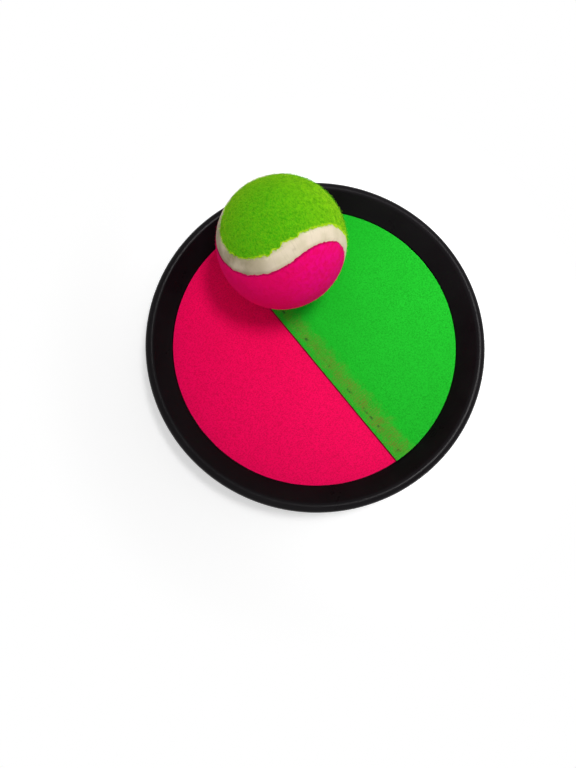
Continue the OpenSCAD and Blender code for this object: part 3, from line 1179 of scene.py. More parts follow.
@dataclass
class DishShell:
    """The black moulding: rolled rim, sloping wall, pocket, foot ring, ribs and two strap bars."""

    bead_r: float = 3.0
    bead_step_deg: float = 6.0
    wall: float = 2.2
    floor_t: float = 2.5
    foot_t: float = 3.0
    foot_draft: float = 0.4
    foot_edge_r: float = 0.5
    floor_fillet_r: float = 2.0
    pocket_fillet_r: float = 0.4
    root_fillet_r: float = 1.2
    face_gap: float = 0.3
    lip_drop: float = 0.3
    lip_r: float = 0.6
    parting_h: float = 0.07
    parting_w: float = 0.3
    rib_count: int = 24
    rib_t: float = 1.6
    rib_drop: float = 7.0
    rib_edge: float = 0.3
    bite: float = 0.4
    bar_r: float = 2.0
    bar_short: float = 0.6
    bar_edge: float = 0.4
    bar_sharp_deg: float = 50.0
    bracket_rim: float = 1.4
    bracket_t: float = 3.0
    window_half: Flat = (4.8, 20.5)
    window_r: float = 1.5
    cut_past: float = 1.0
    cut_edge: float = 0.2
    segments: int = 240
    finish: MouldedPlastic = MouldedPlastic()

    def __post_init__(self) -> None:
        """Takes the main sizes and places from the solids."""
        top = box_mm("paddle_shell")[1]
        disc_low, disc_high = box_mm("backing_disc")
        self.bead_c = np.array((top.x - self.bead_r, top.z - self.bead_r))
        self.pocket_z = disc_low.z
        self.floor_z = disc_low.z - self.floor_t
        self.pocket_r = disc_high.x + self.face_gap
        self.skirt_r = self.pocket_r + self.wall
        self.hollow_r = self.skirt_r - self.foot_t
        self.lip = np.array((self.pocket_r, box_mm("hook_sheet_pink")[1].z - self.lip_drop))
        reach = self.bead_c - self.lip
        length = float(np.linalg.norm(reach))
        self.slope = math.atan2(reach[1], reach[0]) + math.asin(self.bead_r / length)
        along = np.array((math.cos(self.slope), math.sin(self.slope)))
        self.under = np.array((math.sin(self.slope), -math.cos(self.slope)))
        self.crest = self.lip + math.sqrt(length**2 - self.bead_r**2) * along
        foot = self.lip + self.wall * self.under
        self.root_z = foot[1] + (self.skirt_r - foot[0]) * math.tan(self.slope)
        self.bar_x, self.bar_z = strap_bar()
        self.plastic = self.moulded()

    def moulded(self) -> Material:
        """Mixes the plastic, told where the shell's front and back meet.

        Returns:
            The material.
        """
        rise = math.tan(self.slope)
        floor_z = (self.pocket_z + self.floor_z) / 2
        wall_z = self.lip[1] - self.wall / 2 / math.cos(self.slope)
        turn_r = self.pocket_r - (wall_z - floor_z) / rise
        return self.finish.material(turn_r * MM, rise, floor_z * MM, self.bead_c[1] * MM)

    def section(self) -> list[Flat]:
        """Lays out the dish's section.

        Returns:
            Its points, from the axis over the rim and back under the floor to the axis.
        """
        upper = rounded([
            (0, self.pocket_z, 0),
            (self.pocket_r / 2, self.pocket_z, 0),
            (self.pocket_r, self.pocket_z, self.pocket_fillet_r),
            (*self.lip, self.lip_r),
            (*self.crest, 0),
        ])
        first = math.degrees(self.slope) + 90
        turn = math.degrees(math.acos((self.bead_r - self.wall) / self.bead_r))
        bead = []
        for x, z in arc(tuple(self.bead_c), self.bead_r, first, first + turn - 360, self.bead_step_deg):
            out = np.array((x, z)) - self.bead_c
            ridge = self.parting_h * math.exp(-((out[1] / self.parting_w) ** 2)) if out[0] > 0 else 0.0
            bead.append((x + ridge, z))
        lower = rounded([
            (*bead[-1], 0),
            (self.skirt_r, self.root_z, self.root_fillet_r),
            (self.skirt_r - self.foot_draft, 0, self.foot_edge_r),
            (self.hollow_r + self.foot_draft, 0, self.foot_edge_r),
            (self.hollow_r, self.floor_z, self.floor_fillet_r),
            (self.hollow_r / 2, self.floor_z, 0),
            (0, self.floor_z, 0),
        ])
        return upper[:-1] + bead + lower[1:]

    def cutter(self, side: int) -> Object:
        """Makes what cuts a strap window.

        Args:
            side: The window's side, -1 or 1.

        Returns:
            The helper.
        """
        half_x, half_y = self.window_half
        turns = ((-1, -1), (1, -1), (1, 1), (-1, 1))
        corners = [(side * self.bar_x + a * half_x, b * half_y, self.window_r) for a, b in turns]
        middle = (corners[0][0], 0.0, 0.0)
        outline = rounded([middle, *corners, middle])[:-1]
        low, high = self.floor_z - self.cut_past, self.pocket_z + self.cut_past
        return slab(f"window_{side}", outline, low, high, self.cut_edge)

    def dish(self) -> Object:
        """Turns the dish and cuts its two strap windows.

        Returns:
            The dish.
        """
        start_r = self.pocket_r / 2
        section = [(r - start_r, -z, 0.0) for r, z in self.section()]
        dish = make_object("dish_shell", section, edges=[(i, i + 1) for i in range(len(section) - 1)])
        turned_tree().run(dish, self.plastic, Segments=self.segments, Radius=start_r * MM)
        cutters = [self.cutter(side) for side in (-1, 1)]
        for cutter in cutters:
            cut = dish.modifiers.new(cutter.name, "BOOLEAN")
            cut.object = cutter
            cut.operation = "DIFFERENCE"
            cut.solver = "EXACT"
        bake(dish)
        discard(*cutters)
        return dish

    def ribs(self) -> Object:
        """Makes the ribs under the rim.

        Returns:
            All the ribs as one mesh.
        """
        inner = self.skirt_r - self.foot_draft - self.bite
        outer = self.crest + self.wall * self.under
        outline = [
            (inner, self.root_z - self.rib_drop),
            tuple(outer),
            tuple(outer - self.bite * self.under),
            tuple(np.array((self.skirt_r, self.root_z)) - self.bite * self.under),
            (inner, self.root_z),
        ]
        rib = prisms("rim_ribs", [(outline, -self.rib_t / 2, self.rib_t / 2)])
        soften(rib, self.rib_edge, segments=2)
        return ring_tree().run(rib, self.plastic, Count=self.rib_count)

    def bars(self) -> Object:
        """Makes the strap bars and the brackets that hold them.

        Returns:
            All of them as one mesh.
        """
        inner_y = self.window_half[1]
        outer_y = inner_y + self.bracket_t
        bar_y = outer_y - self.bar_short
        bracket_r = self.bar_r + self.bracket_rim
        root_z = self.floor_z + self.bite
        shapes = []
        for side in (-1, 1):
            x = side * self.bar_x
            shapes.append((arc((x, self.bar_z), self.bar_r, 0, 360 - ARC_STEP), -bar_y, bar_y))
            bracket = arc((x, self.bar_z), bracket_r, 180, 360)
            bracket += [(x + bracket_r, root_z), (x - bracket_r, root_z)]
            shapes += [(bracket, -outer_y, -inner_y), (bracket, inner_y, outer_y)]
        bars = prisms("strap_bars", shapes)
        return soften(bars, self.bar_edge, segments=3, sharp_deg=self.bar_sharp_deg)

    def build(self) -> None:
        """Makes and dresses the shell."""
        dress(self.dish(), Body.PADDLE, Slot.SHELL, self.plastic, ["paddle_shell"])
        dress(self.ribs(), Body.PADDLE, Slot.SHELL)
        dress(self.bars(), Body.PADDLE, Slot.SHELL, self.plastic)


@dataclass
class HookSheet:
    """One sheet of hook fabric: cloth that fills its side of the face, and hooks in rows on it."""

    name: str
    node: str
    slot: Slot
    finish: HookCloth
    rests_on: list[str]
    step: Flat | None = None
    covered_from: float = math.inf
    cloth_t: float = 0.36
    edge_gap: float = 0.1
    end_gap: float = 0.02
    wave_len: float = 17.0
    wave_h: float = 0.05
    curl_len: float = 0.9
    curl_h: float = 0.14
    fray_len: float = 1.3
    fray_w: float = 0.07
    fray_seed: int = 3
    columns: int = 110
    rows: int = 91
    step_columns: int = 15
    step_past: float = 1.0
    hook_margin: float = 0.7
    hook_pitch: float = 1.36
    hook_off: float = 0.09
    hook_sink: float = 0.04
    area_steps: int = 400
    seed: int = 11

    def __post_init__(self) -> None:
        """Takes its place from its solid and from the disc that it is glued to."""
        low, high = box_mm(self.node)
        disc = box_mm("backing_disc")[1]
        self.radius = disc.x - self.edge_gap
        self.x_span = (max(low.x, -self.radius), min(high.x, self.radius))
        self.base_z = disc.z
        self.lift = high.z - low.z - (box_mm("hook_sheet_pink")[1].z - disc.z)
        self.nylon = self.finish.material()

    def height(self, x: np.ndarray, y: np.ndarray) -> np.ndarray:
        """Height of the cloth's underside over a place on the face.

        Args:
            x: Places across the overlap.
            y: Places along it.

        Returns:
            The heights.
        """
        places = zip(x.ravel() / self.wave_len, y.ravel() / self.wave_len)
        wave = 1 + np.array([noise.noise(Vector((a, b, self.seed))) for a, b in places]).reshape(x.shape)
        z = self.base_z + self.wave_h * wave
        if self.step:
            start, end = self.step
            z = z + self.lift * eased(np.clip((end - x) / (end - start), 0, 1))
            curl = np.exp(-np.clip(x - self.x_span[0], 0, None) / self.curl_len)
            z = z + self.curl_h * curl * wave
        return z

    def cloth(self) -> Object:
        """Makes the cloth.

        Returns:
            A thin closed sheet.
        """
        x = np.linspace(*self.x_span, self.columns)
        x = np.clip(x, -self.radius + self.end_gap, self.radius - self.end_gap)
        if self.step:
            start, end = self.step[0] - self.step_past, self.step[1] + self.step_past
            x = np.unique(np.concatenate((x, np.linspace(start, end, self.step_columns))))
        half = np.sqrt(self.radius**2 - x**2)
        grid_x = np.repeat(x[:, None], self.rows, axis=1)
        grid_y = half[:, None] * np.linspace(-1, 1, self.rows)[None, :]
        under = self.height(grid_x, grid_y)
        if self.step:
            places = grid_y[0] / self.fray_len
            frayed = [noise.noise(Vector((place, 0, self.fray_seed))) for place in places]
            grid_x[0] += self.fray_w * np.array(frayed)
        n, m = grid_x.shape
        low = np.stack((grid_x, grid_y, under), axis=-1).reshape(-1, 3)
        high = low + np.array((0, 0, self.cloth_t))
        index = np.arange(n * m).reshape(n, m)
        quads = np.stack((index[:-1, :-1], index[1:, :-1], index[1:, 1:], index[:-1, 1:]), axis=-1)
        quads = quads.reshape(-1, 4)
        rim = np.concatenate((index[:, 0], index[-1, 1:], index[-2::-1, -1], index[0, -2:0:-1]))
        after = np.roll(rim, -1)
        walls = np.stack((rim, after, after + n * m, rim + n * m), axis=-1)
        faces = quads[:, ::-1].tolist() + (quads + n * m).tolist() + walls.tolist()
        return make_object(self.name, np.vstack((low, high)), faces)

    def hooks(self) -> Object:
        """Makes the hooks, in rows that face one way and the other by turns.

        Returns:
            All the hooks as one mesh.
        """
        start = self.x_span[0] + self.hook_margin
        end = min(self.x_span[1], self.covered_from) - self.hook_margin
        pitch = self.hook_pitch
        chance = np.random.default_rng(self.seed)
        places, turns = [], []
        for row, x in enumerate(np.arange(start, end, pitch)):
            half = math.sqrt(max(0.0, (self.radius - self.hook_margin) ** 2 - x**2))
            y = np.arange(-half + (row % 2) * pitch / 2, half, pitch)
            off = chance.normal(0, self.hook_off, (len(y), 2))
            places.append(np.column_stack((np.full(len(y), x), y)) + off)
            turns.append(np.full(len(y), math.pi / 2 if row % 2 else -math.pi / 2))
        xy = np.vstack(places)
        z = self.height(xy[:, 0], xy[:, 1]) + self.cloth_t - self.hook_sink
        host = make_object(f"{self.name}_hooks", np.column_stack((xy, z)))
        add_attribute(host, "turn", np.concatenate(turns))
        return rows_tree().spread(
            HOOK, host, self.nylon, Seed=self.seed, Jitter=0.45, Smallest=0.85, Largest=1.12
        )

    def flat_size(self) -> tuple[Flat, float]:
        """Measures the sheet laid flat.

        Returns:
            Width and length that it is cut from, and its area, in metres.
        """
        x = np.linspace(*self.x_span, self.area_steps)
        chords = 2 * np.sqrt(np.clip(self.radius**2 - x**2, 0, None))
        area = float(((chords[:-1] + chords[1:]) / 2 * np.diff(x)).sum())
        return ((self.x_span[1] - self.x_span[0]) * MM, 2 * self.radius * MM), area * MM**2

    def build(self) -> None:
        """Makes and dresses the sheet."""
        cloth = dress(self.cloth(), Body.PADDLE, self.slot, self.nylon, [self.node])
        hooks = dress(self.hooks(), Body.PADDLE, self.slot)
        flat, area = self.flat_size()


@dataclass
class CatchFace:
    """The face: a pink sheet, a green sheet that overlaps it, and stray fibres along the overlap."""

    step_len: float = 8.0
    step_gap: float = 0.1
    green: Colour = (0.013, 0.51, 0.023)
    green_deep: Colour = (0.007, 0.37, 0.013)
    pink: Colour = (0.965, 0.001, 0.113)
    pink_deep: Colour = (0.75, 0.001, 0.075)
    board: Plain = Plain("backing_board", (0.012, 0.012, 0.013), (0.03, 0.03, 0.032), 0.8)
    stray: Strand = Strand("stray_fibre", (0.20, 0.25, 0.04), (0.36, 0.40, 0.09))
    stray_shape: Thread = Thread(
        "stray_shape", ((-0.7, 0.02), (-0.2, 0.16), (0.3, 0.2), (0.8, 0.05)), (0.03, 0.05, 0.05, 0.03)
    )
    stray_count: int = 420
    stray_inset: Flat = (0.8, 0.2)
    stray_margin: float = 2.0
    stray_lift: float = 0.45
    stray_seed: int = 5

    def __post_init__(self) -> None:
        """Finds the overlap's edges from the sheets' solids."""
        self.green_edge = box_mm("hook_sheet_green")[0].x
        self.pink_edge = box_mm("hook_sheet_pink")[1].x

    def strays(self, top_z: float, radius: float) -> Object:
        """Short fibres that lie on the overlap.

        Args:
            top_z: Height that they lie at.
            radius: The face's radius.

        Returns:
            All the fibres as one mesh.
        """
        count = self.stray_count
        chance = np.random.default_rng(self.stray_seed)
        start, end = self.green_edge + self.stray_inset[0], self.pink_edge - self.stray_inset[1]
        x = chance.uniform(start, end, count)
        y = chance.uniform(-1, 1, count) * np.sqrt((radius - self.stray_margin) ** 2 - x**2)
        host = make_object("stray_fibres", np.column_stack((x, y, np.full(count, top_z))))
        add_attribute(host, "turn", chance.uniform(0, math.pi, count))
        return rows_tree().spread(
            self.stray_shape, host, self.stray.material(), Seed=3, Jitter=0.6, Smallest=0.6, Largest=1.3
        )

    def build(self) -> None:
        """Makes and dresses the face."""
        overlap = (self.green_edge, self.pink_edge)
        step_x = self.pink_edge + self.step_gap
        pink = HookSheet(
            "hook_face_pink", "hook_sheet_pink", Slot.PINK_HOOK,
            HookCloth("hook_nylon_pink", self.pink, self.pink_deep, tuck=self.green_edge),
            rests_on=["backing_disc"], covered_from=self.green_edge,
        )
        green = HookSheet(
            "hook_face_green", "hook_sheet_green", Slot.GREEN_HOOK,
            HookCloth("hook_nylon_green", self.green, self.green_deep, strip=overlap),
            rests_on=["backing_disc", "hook_sheet_pink"], step=(step_x, step_x + self.step_len), seed=23,
        )
        for sheet in (pink, green):
            sheet.build()
        top_z = green.base_z + green.lift + green.cloth_t + self.stray_lift
        dress(self.strays(top_z, green.radius), Body.PADDLE, Slot.GREEN_HOOK)
        recolour("backing_disc", self.board.material())


@dataclass(frozen=True)
class PanelLook:
    """What sets one felt panel apart from the other.

    The trim is how far its cut edge stands back from the seam's half width, and ragged how uneven that
    edge is. Each notch is where the edge stands back further: its place along the seam, half length and
    depth. Lively is how thick and long the nap is.
    """

    slot: Slot
    felt: Felt
    nap: Strand
    fringe: Strand
    trim: float
    ragged: float
    lively: float
    notches: tuple[Corner, ...]


LOOKS = {
    Panel.GREEN: PanelLook(
        Slot.GREEN_FELT,
        Felt(
            "felt_lime", colour=(0.058, 0.48, 0.003), deep=(0.030, 0.35, 0.002),
            # Painted highlight: the light edge colour on the lime's cut edge.
            light=(0.33, 0.74, 0.012), rim=(0.56, 0.84, 0.02), bloom=(0.70, 0.80, 0.012),
            # Painted light: a lighter tone on the main lamp's side.
            faded=(0.25, 0.68, 0.004), sheen=0.6, fade_to=(1.0, 0.0, 0.0), fade=(0.008, 0.042),
        ),
        Strand("nap_lime", (0.035, 0.43, 0.003), (0.58, 0.86, 0.012)),
        # Painted highlight: fringe fibres lighter than the nap, for light shining through the cut edge.
        Strand("fringe_lime", (0.46, 0.82, 0.02), (0.78, 0.97, 0.12)),
        trim=-0.5, ragged=1.0, lively=1.0,
        notches=(
            (80.0, 13.0, -1.1), (115.0, 15.0, -1.0), (143.0, 6.0, 1.2), (157.0, 6.0, 1.2),
            (250.0, 9.0, 0.6),
        ),
    ),
    Panel.PINK: PanelLook(
        Slot.PINK_FELT,
        Felt(
            "felt_magenta", colour=(0.95, 0.001, 0.145), deep=(0.92, 0.001, 0.108),
            # Painted shade: the dark edge colour on the magenta's cut edge.
            light=(0.99, 0.004, 0.21), rim=(0.56, 0.001, 0.09), bloom=(0.99, 0.004, 0.25),
            # Painted light: a lighter tone on the main lamp's side.
            faded=(1.0, 0.001, 0.27), sheen=0.08, fade_to=(0.78, -0.62, 0.0), fade=(-0.022, 0.002),
        ),
        Strand("nap_magenta", (0.96, 0.001, 0.155), (0.99, 0.004, 0.22)),
        # Painted shade: fringe fibres darker than the nap, for shade along the cut edge.
        Strand("fringe_magenta", (0.66, 0.001, 0.12), (0.90, 0.01, 0.20)),
        trim=-0.2, ragged=0.4, lively=0.6,
        notches=(
            (84.0, 14.0, 2.9), (110.0, 13.0, 2.6), (132.0, 9.0, 0.6), (182.0, 8.0, -0.45),
            (191.0, 6.0, -0.55), (285.0, 8.0, -0.4),
        ),
    ),
}


@dataclass(frozen=True)
class Cut:
    """A part of the fine ball, cut along a line.

    It holds its points' directions, its triangles, how far inside the line its points lie, and which of
    the ball's points they are.
    """

    directions: np.ndarray
    triangles: np.ndarray
    level: np.ndarray
    used: np.ndarray


@dataclass
class FeltBall:
    """The ball: two dog-bone felt panels, their nap and the seam band between them, on a rubber core."""

    turn_deg: Corner = (-57.1, 73.5, -67.7)
    seam_w: float = 7.5
    seam_sink: float = 0.75
    seam_rise: float = 0.46
    seam_hollow: float = 0.05
    seam_waves: Bumps = Bumps(0.05, 2.4)
    seam_lean: float = 8.0
    seam_points: int = 420
    groove_w: float = 1.1
    tuck: float = 3.2
    felt_t: float = 2.6
    glue_gap: float = 0.05
    shoulder: Flat = (1.0, 0.6)
    lumps: tuple[Bumps, Bumps] = (Bumps(0.13, 1.7, 9), Bumps(0.10, 6.0, -20))
    snips: Bumps = Bumps(2.4, 3.0)
    snip_step: float = 0.42
    tears: tuple[Bumps, Bumps] = (Bumps(0.6, 1.5), Bumps(0.35, 4.5, 50))
    nap_h: float = 0.35
    nap_shape: Thread = Thread(
        "fibre_shape", ((0, -0.05), (0.05, 0.4), (0.22, 0.75), (0.5, 0.95)), (0.06, 0.055, 0.045, 0.015)
    )
    nap_from: float = 0.6
    nap_density: float = 1.35e6
    nap_sizes: Flat = (0.55, 1.15)
    nap_seed: int = 30
    fringe_to: float = 0.9
    fringe_density: float = 6.5e6
    blank_deg: Flat = (118.0, 276.0)
    fineness: int = 7
    cores: tuple[str, str] = ("ball_core_upper", "ball_core_lower")
    rubber: Plain = Plain("core_rubber", (0.03, 0.03, 0.033), (0.06, 0.06, 0.065), 0.75)
    seam: SeamCompound = SeamCompound()

    def __post_init__(self) -> None:
        """Takes the ball's place and size from its rubber core and lays out its seam."""
        boxes = [box_mm(node) for node in self.cores]
        low = np.min([box[0] for box in boxes], axis=0)
        high = np.max([box[1] for box in boxes], axis=0)
        self.centre = (low + high) / 2
        self.radius = float((high - low).mean() / 2) + self.glue_gap + self.felt_t
        turn = Euler([math.radians(a) for a in self.turn_deg], "XYZ")
        self.turn = np.array(turn.to_matrix())
        self.lean = math.tan(math.radians(self.seam_lean))
        self.lay_out()
        self.levels = {panel: self.inside_cut(panel) for panel in Panel}

    def seam_line(self) -> np.ndarray:
        """Lays out the seam's middle line.

        Returns:
            Its points, once round, in the ball's own frame.
        """
        normal = unit(np.array((0.0, 1.0, self.lean)))
        depth = self.radius * math.sqrt(0.5) / math.hypot(1, self.lean)
        ring = math.sqrt(self.radius**2 - depth**2)
        side, up = np.array((1.0, 0.0, 0.0)), unit(np.array((0.0, -self.lean, 1.0)))
        dip = math.asin(depth * normal[2] / (ring * up[2]))
        t = np.linspace(-dip, math.pi + dip, self.seam_points)[:-1, None]
        upper = depth * normal + ring * (np.cos(t) * side + np.sin(t) * up)
        over = upper[:, [1, 0, 2]] * (-1, 1, -1)
        return np.vstack((upper, over, upper * (-1, -1, 1), over * (-1, -1, 1)))

    def lay_out(self) -> None:
        """Makes a fine ball and finds each point's distance from the seam, above 0 on the green side."""
        shape = bmesh.new()
        bmesh.ops.create_icosphere(shape, subdivisions=self.fineness, radius=1.0)
        self.directions = np.array([v.co for v in shape.verts])
        self.triangles = np.array([[v.index for v in f.verts] for f in shape.faces])
        self.edges = np.array([[v.index for v in e.verts] for e in shape.edges])
        shape.free()
        self.places = self.directions * self.radius
        line = self.seam_line()
        steps = np.linalg.norm(np.roll(line, -1, axis=0) - line, axis=1)
        lengths = np.concatenate(((0.0,), np.cumsum(steps)[:-1]))
        tree = kdtree.KDTree(len(line))
        for i, point in enumerate(line):
            tree.insert(point, i)
        tree.balance()
        found = [tree.find(p) for p in self.places]
        self.along = np.array([lengths[i] for _, i, _ in found])
        gap = np.array([d for _, _, d in found])
        x, y, z = self.places.T
        reach = self.radius * math.sqrt(0.5)
        waist = np.abs(y) <= reach - z * self.lean
        bay = (z < 0) & (np.abs(x) <= reach + z * self.lean)
        self.gap = np.where(waist & ~bay, gap, -gap)

    def inside_cut(self, panel: Panel) -> np.ndarray:
        """How far inside a panel's ragged cut edge each point lies.

        Args:
            panel: Which panel.

        Returns:
            One distance for each point of the fine ball, in millimetres.
        """
        look = LOOKS[panel]
        cut = self.snip_step * np.round(self.snips.at(self.places))
        for tear in self.tears:
            cut = cut + tear.at(self.places)
        notch = np.zeros(len(self.along))
        for place, length, depth in look.notches:
            notch += depth * np.exp(-(((self.along - place) / length) ** 2))
        edge = self.seam_w / 2 + look.trim + notch
        return panel.value * self.gap - edge - look.ragged * cut

    def clipped(self, level: np.ndarray) -> Cut:
        """Cuts the fine ball along the line where a level is zero.

        Args:
            level: One value for each point of the ball.

        Returns:
            The part where the level is positive.
        """
        directions, level = self.directions.copy(), level.copy()
        first, second = self.edges[level[self.edges[:, 0]] * level[self.edges[:, 1]] < 0].T
        share = level[first] / (level[first] - level[second])
        near = share < 0.5
        moved, other = np.where(near, first, second), np.where(near, second, first)
        share = np.where(near, share, 1 - share)
        order = np.argsort(-share)
        moved, other, share = moved[order], other[order], share[order][:, None]
        here, there = self.directions[moved], self.directions[other]
        directions[moved] = here + (there - here) * share
        directions /= np.linalg.norm(directions, axis=1)[:, None]
        level[moved] = 0
        corners = level[self.triangles]
        kept = self.triangles[(corners >= 0).all(axis=1) & (corners > 0).any(axis=1)]
        used, kept = np.unique(kept, return_inverse=True)
        return Cut(directions[used], kept.reshape(-1, 3), level[used], used)

    def placed(self, points: np.ndarray) -> np.ndarray:
        """Points of the ball's own frame, where the ball lies."""
        return points @ self.turn.T + self.centre

    def skin(self, name: str, cut: Cut, radii: np.ndarray) -> Object:
        """Makes a closed piece of the ball's skin, down to the rubber.

        Args:
            name: The piece's name.
            cut: The part of the ball that it covers.
            radii: Its outer radius at each point.

        Returns:
            The piece, with its level kept as the attribute edge.
        """
        kept, n = cut.triangles, len(cut.used)
        sides = np.concatenate((kept[:, [0, 1]], kept[:, [1, 2]], kept[:, [2, 0]]))
        keys = np.sort(sides, axis=1)
        _, back, uses = np.unique(keys, axis=0, return_inverse=True, return_counts=True)
        rim = sides[uses[back.ravel()] == 1]
        walls = np.column_stack((rim[:, 1], rim[:, 0], rim[:, 0] + n, rim[:, 1] + n))
        faces = kept.tolist() + (kept[:, ::-1] + n).tolist() + walls.tolist()
        top = cut.directions * radii[:, None]
        under = cut.directions * (self.radius - self.felt_t)
        made = make_object(name, self.placed(np.vstack((top, under))), faces)
        layers = (("edge", cut.level), ("along", self.along[cut.used]), ("across", self.gap[cut.used]))
        for label, values in layers:
            add_attribute(made, label, np.tile(values, 2))
        return made

    def felt_radii(self, panel: Panel, cut: Cut) -> np.ndarray:
        """Finds the outer radius of a panel: lumpy felt that rolls down to its cut edge.

        Args:
            panel: Which panel.
            cut: The part of the ball that it covers.

        Returns:
            The radius at each point.
        """
        width, drop = self.shoulder
        lumps = sum(lump.at(cut.directions * self.radius) for lump in self.lumps)
        roll = 1 - np.sqrt(1 - (1 - np.clip(cut.level / width, 0, 1)) ** 2)
        return self.radius - self.nap_h - drop * roll + lumps * LOOKS[panel].ragged

    def nap(self, panel: Panel, cut: Cut, radii: np.ndarray) -> list[Object]:
        """Makes the fibres that stand on a panel, and the fringe along its cut edge.

        Args:
            panel: Which panel.
            cut: The part of the ball that it covers.
            radii: Its outer radius at each point.

        Returns:
            The nap and the fringe.
        """
        look = LOOKS[panel]
        points, triangles = self.placed(cut.directions * radii[:, None]), cut.triangles
        inside = triangles[(cut.level[triangles] > self.nap_from).any(axis=1)]
        strip = triangles[(cut.level[triangles] < self.fringe_to).all(axis=1)]
        smallest, largest = (size * look.lively for size in self.nap_sizes)
        kinds = (
            ("nap", inside, self.nap_density, look.nap),
            ("fringe", strip, self.fringe_density, look.fringe),
        )
        made = []
        for name, faces, density, strand in kinds:
            host = make_object(f"felt_{name}_{panel.label}", points, faces.tolist())
            made.append(nap_tree().spread(
                self.nap_shape, host, strand.material(), Seed=self.nap_seed + panel.value,
                Density=density * look.lively, Lean=1.25, Smallest=smallest, Largest=largest,
            ))
        return made

    def band(self) -> Object:
        """Makes the cream band, which stands up between the felt's edges and runs on under them.

        Returns:
            The band, slightly hollow in the middle and wavy.
        """
        half = self.seam_w / 2
        cut = self.clipped(half + self.tuck - np.abs(self.gap))
        covered = np.maximum(self.levels[Panel.GREEN], self.levels[Panel.PINK])[cut.used]
        rise = self.seam_rise * eased(np.clip(-covered / self.groove_w, 0, 1))
        hollow = self.seam_hollow * np.clip(1 - (self.gap[cut.used] / half) ** 2, 0, 1)
        waves = self.seam_waves.at(cut.directions * self.radius)
        return self.skin("seam_band", cut, self.radius - self.seam_sink + rise - hollow + waves)

    def flat_size(self, panel: Panel) -> tuple[Flat, float]:
        """Width and length of the blank that a panel is cut from, and its flat area, in metres.

        Args:
            panel: Which panel.

        Returns:
            The blank's width and length, from the angles that a panel spans, and the area.
        """
        middle_r = (self.radius - self.felt_t / 2) * MM
        a, b, c = self.directions[self.triangles].transpose(1, 0, 2)
        areas = np.linalg.norm(np.cross(b - a, c - a), axis=1) / 2
        edge = self.seam_w / 2 + LOOKS[panel].trim
        inside = (panel.value * self.gap)[self.triangles].min(axis=1) > edge
        width, length = (middle_r * math.radians(angle) for angle in self.blank_deg)
        return (width, length), float(areas[inside].sum()) * middle_r**2

    def build(self) -> None:
        """Makes and dresses the ball."""
        for panel, look in LOOKS.items():
            cut = self.clipped(self.levels[panel])
            radii = self.felt_radii(panel, cut)
            felt = self.skin(f"felt_panel_{panel.label}", cut, radii)
            dress(felt, Body.BALL, look.slot, look.felt.material(), [f"ball_felt_{panel.label}"])
            nap = [dress(piece, Body.BALL, look.slot) for piece in self.nap(panel, cut, radii)]
            flat, area = self.flat_size(panel)
        dress(self.band(), Body.BALL, Slot.SEAM, self.seam.material(), ["ball_seam"])
        rubber = self.rubber.material()
        for core in self.cores:
            recolour(core, rubber)


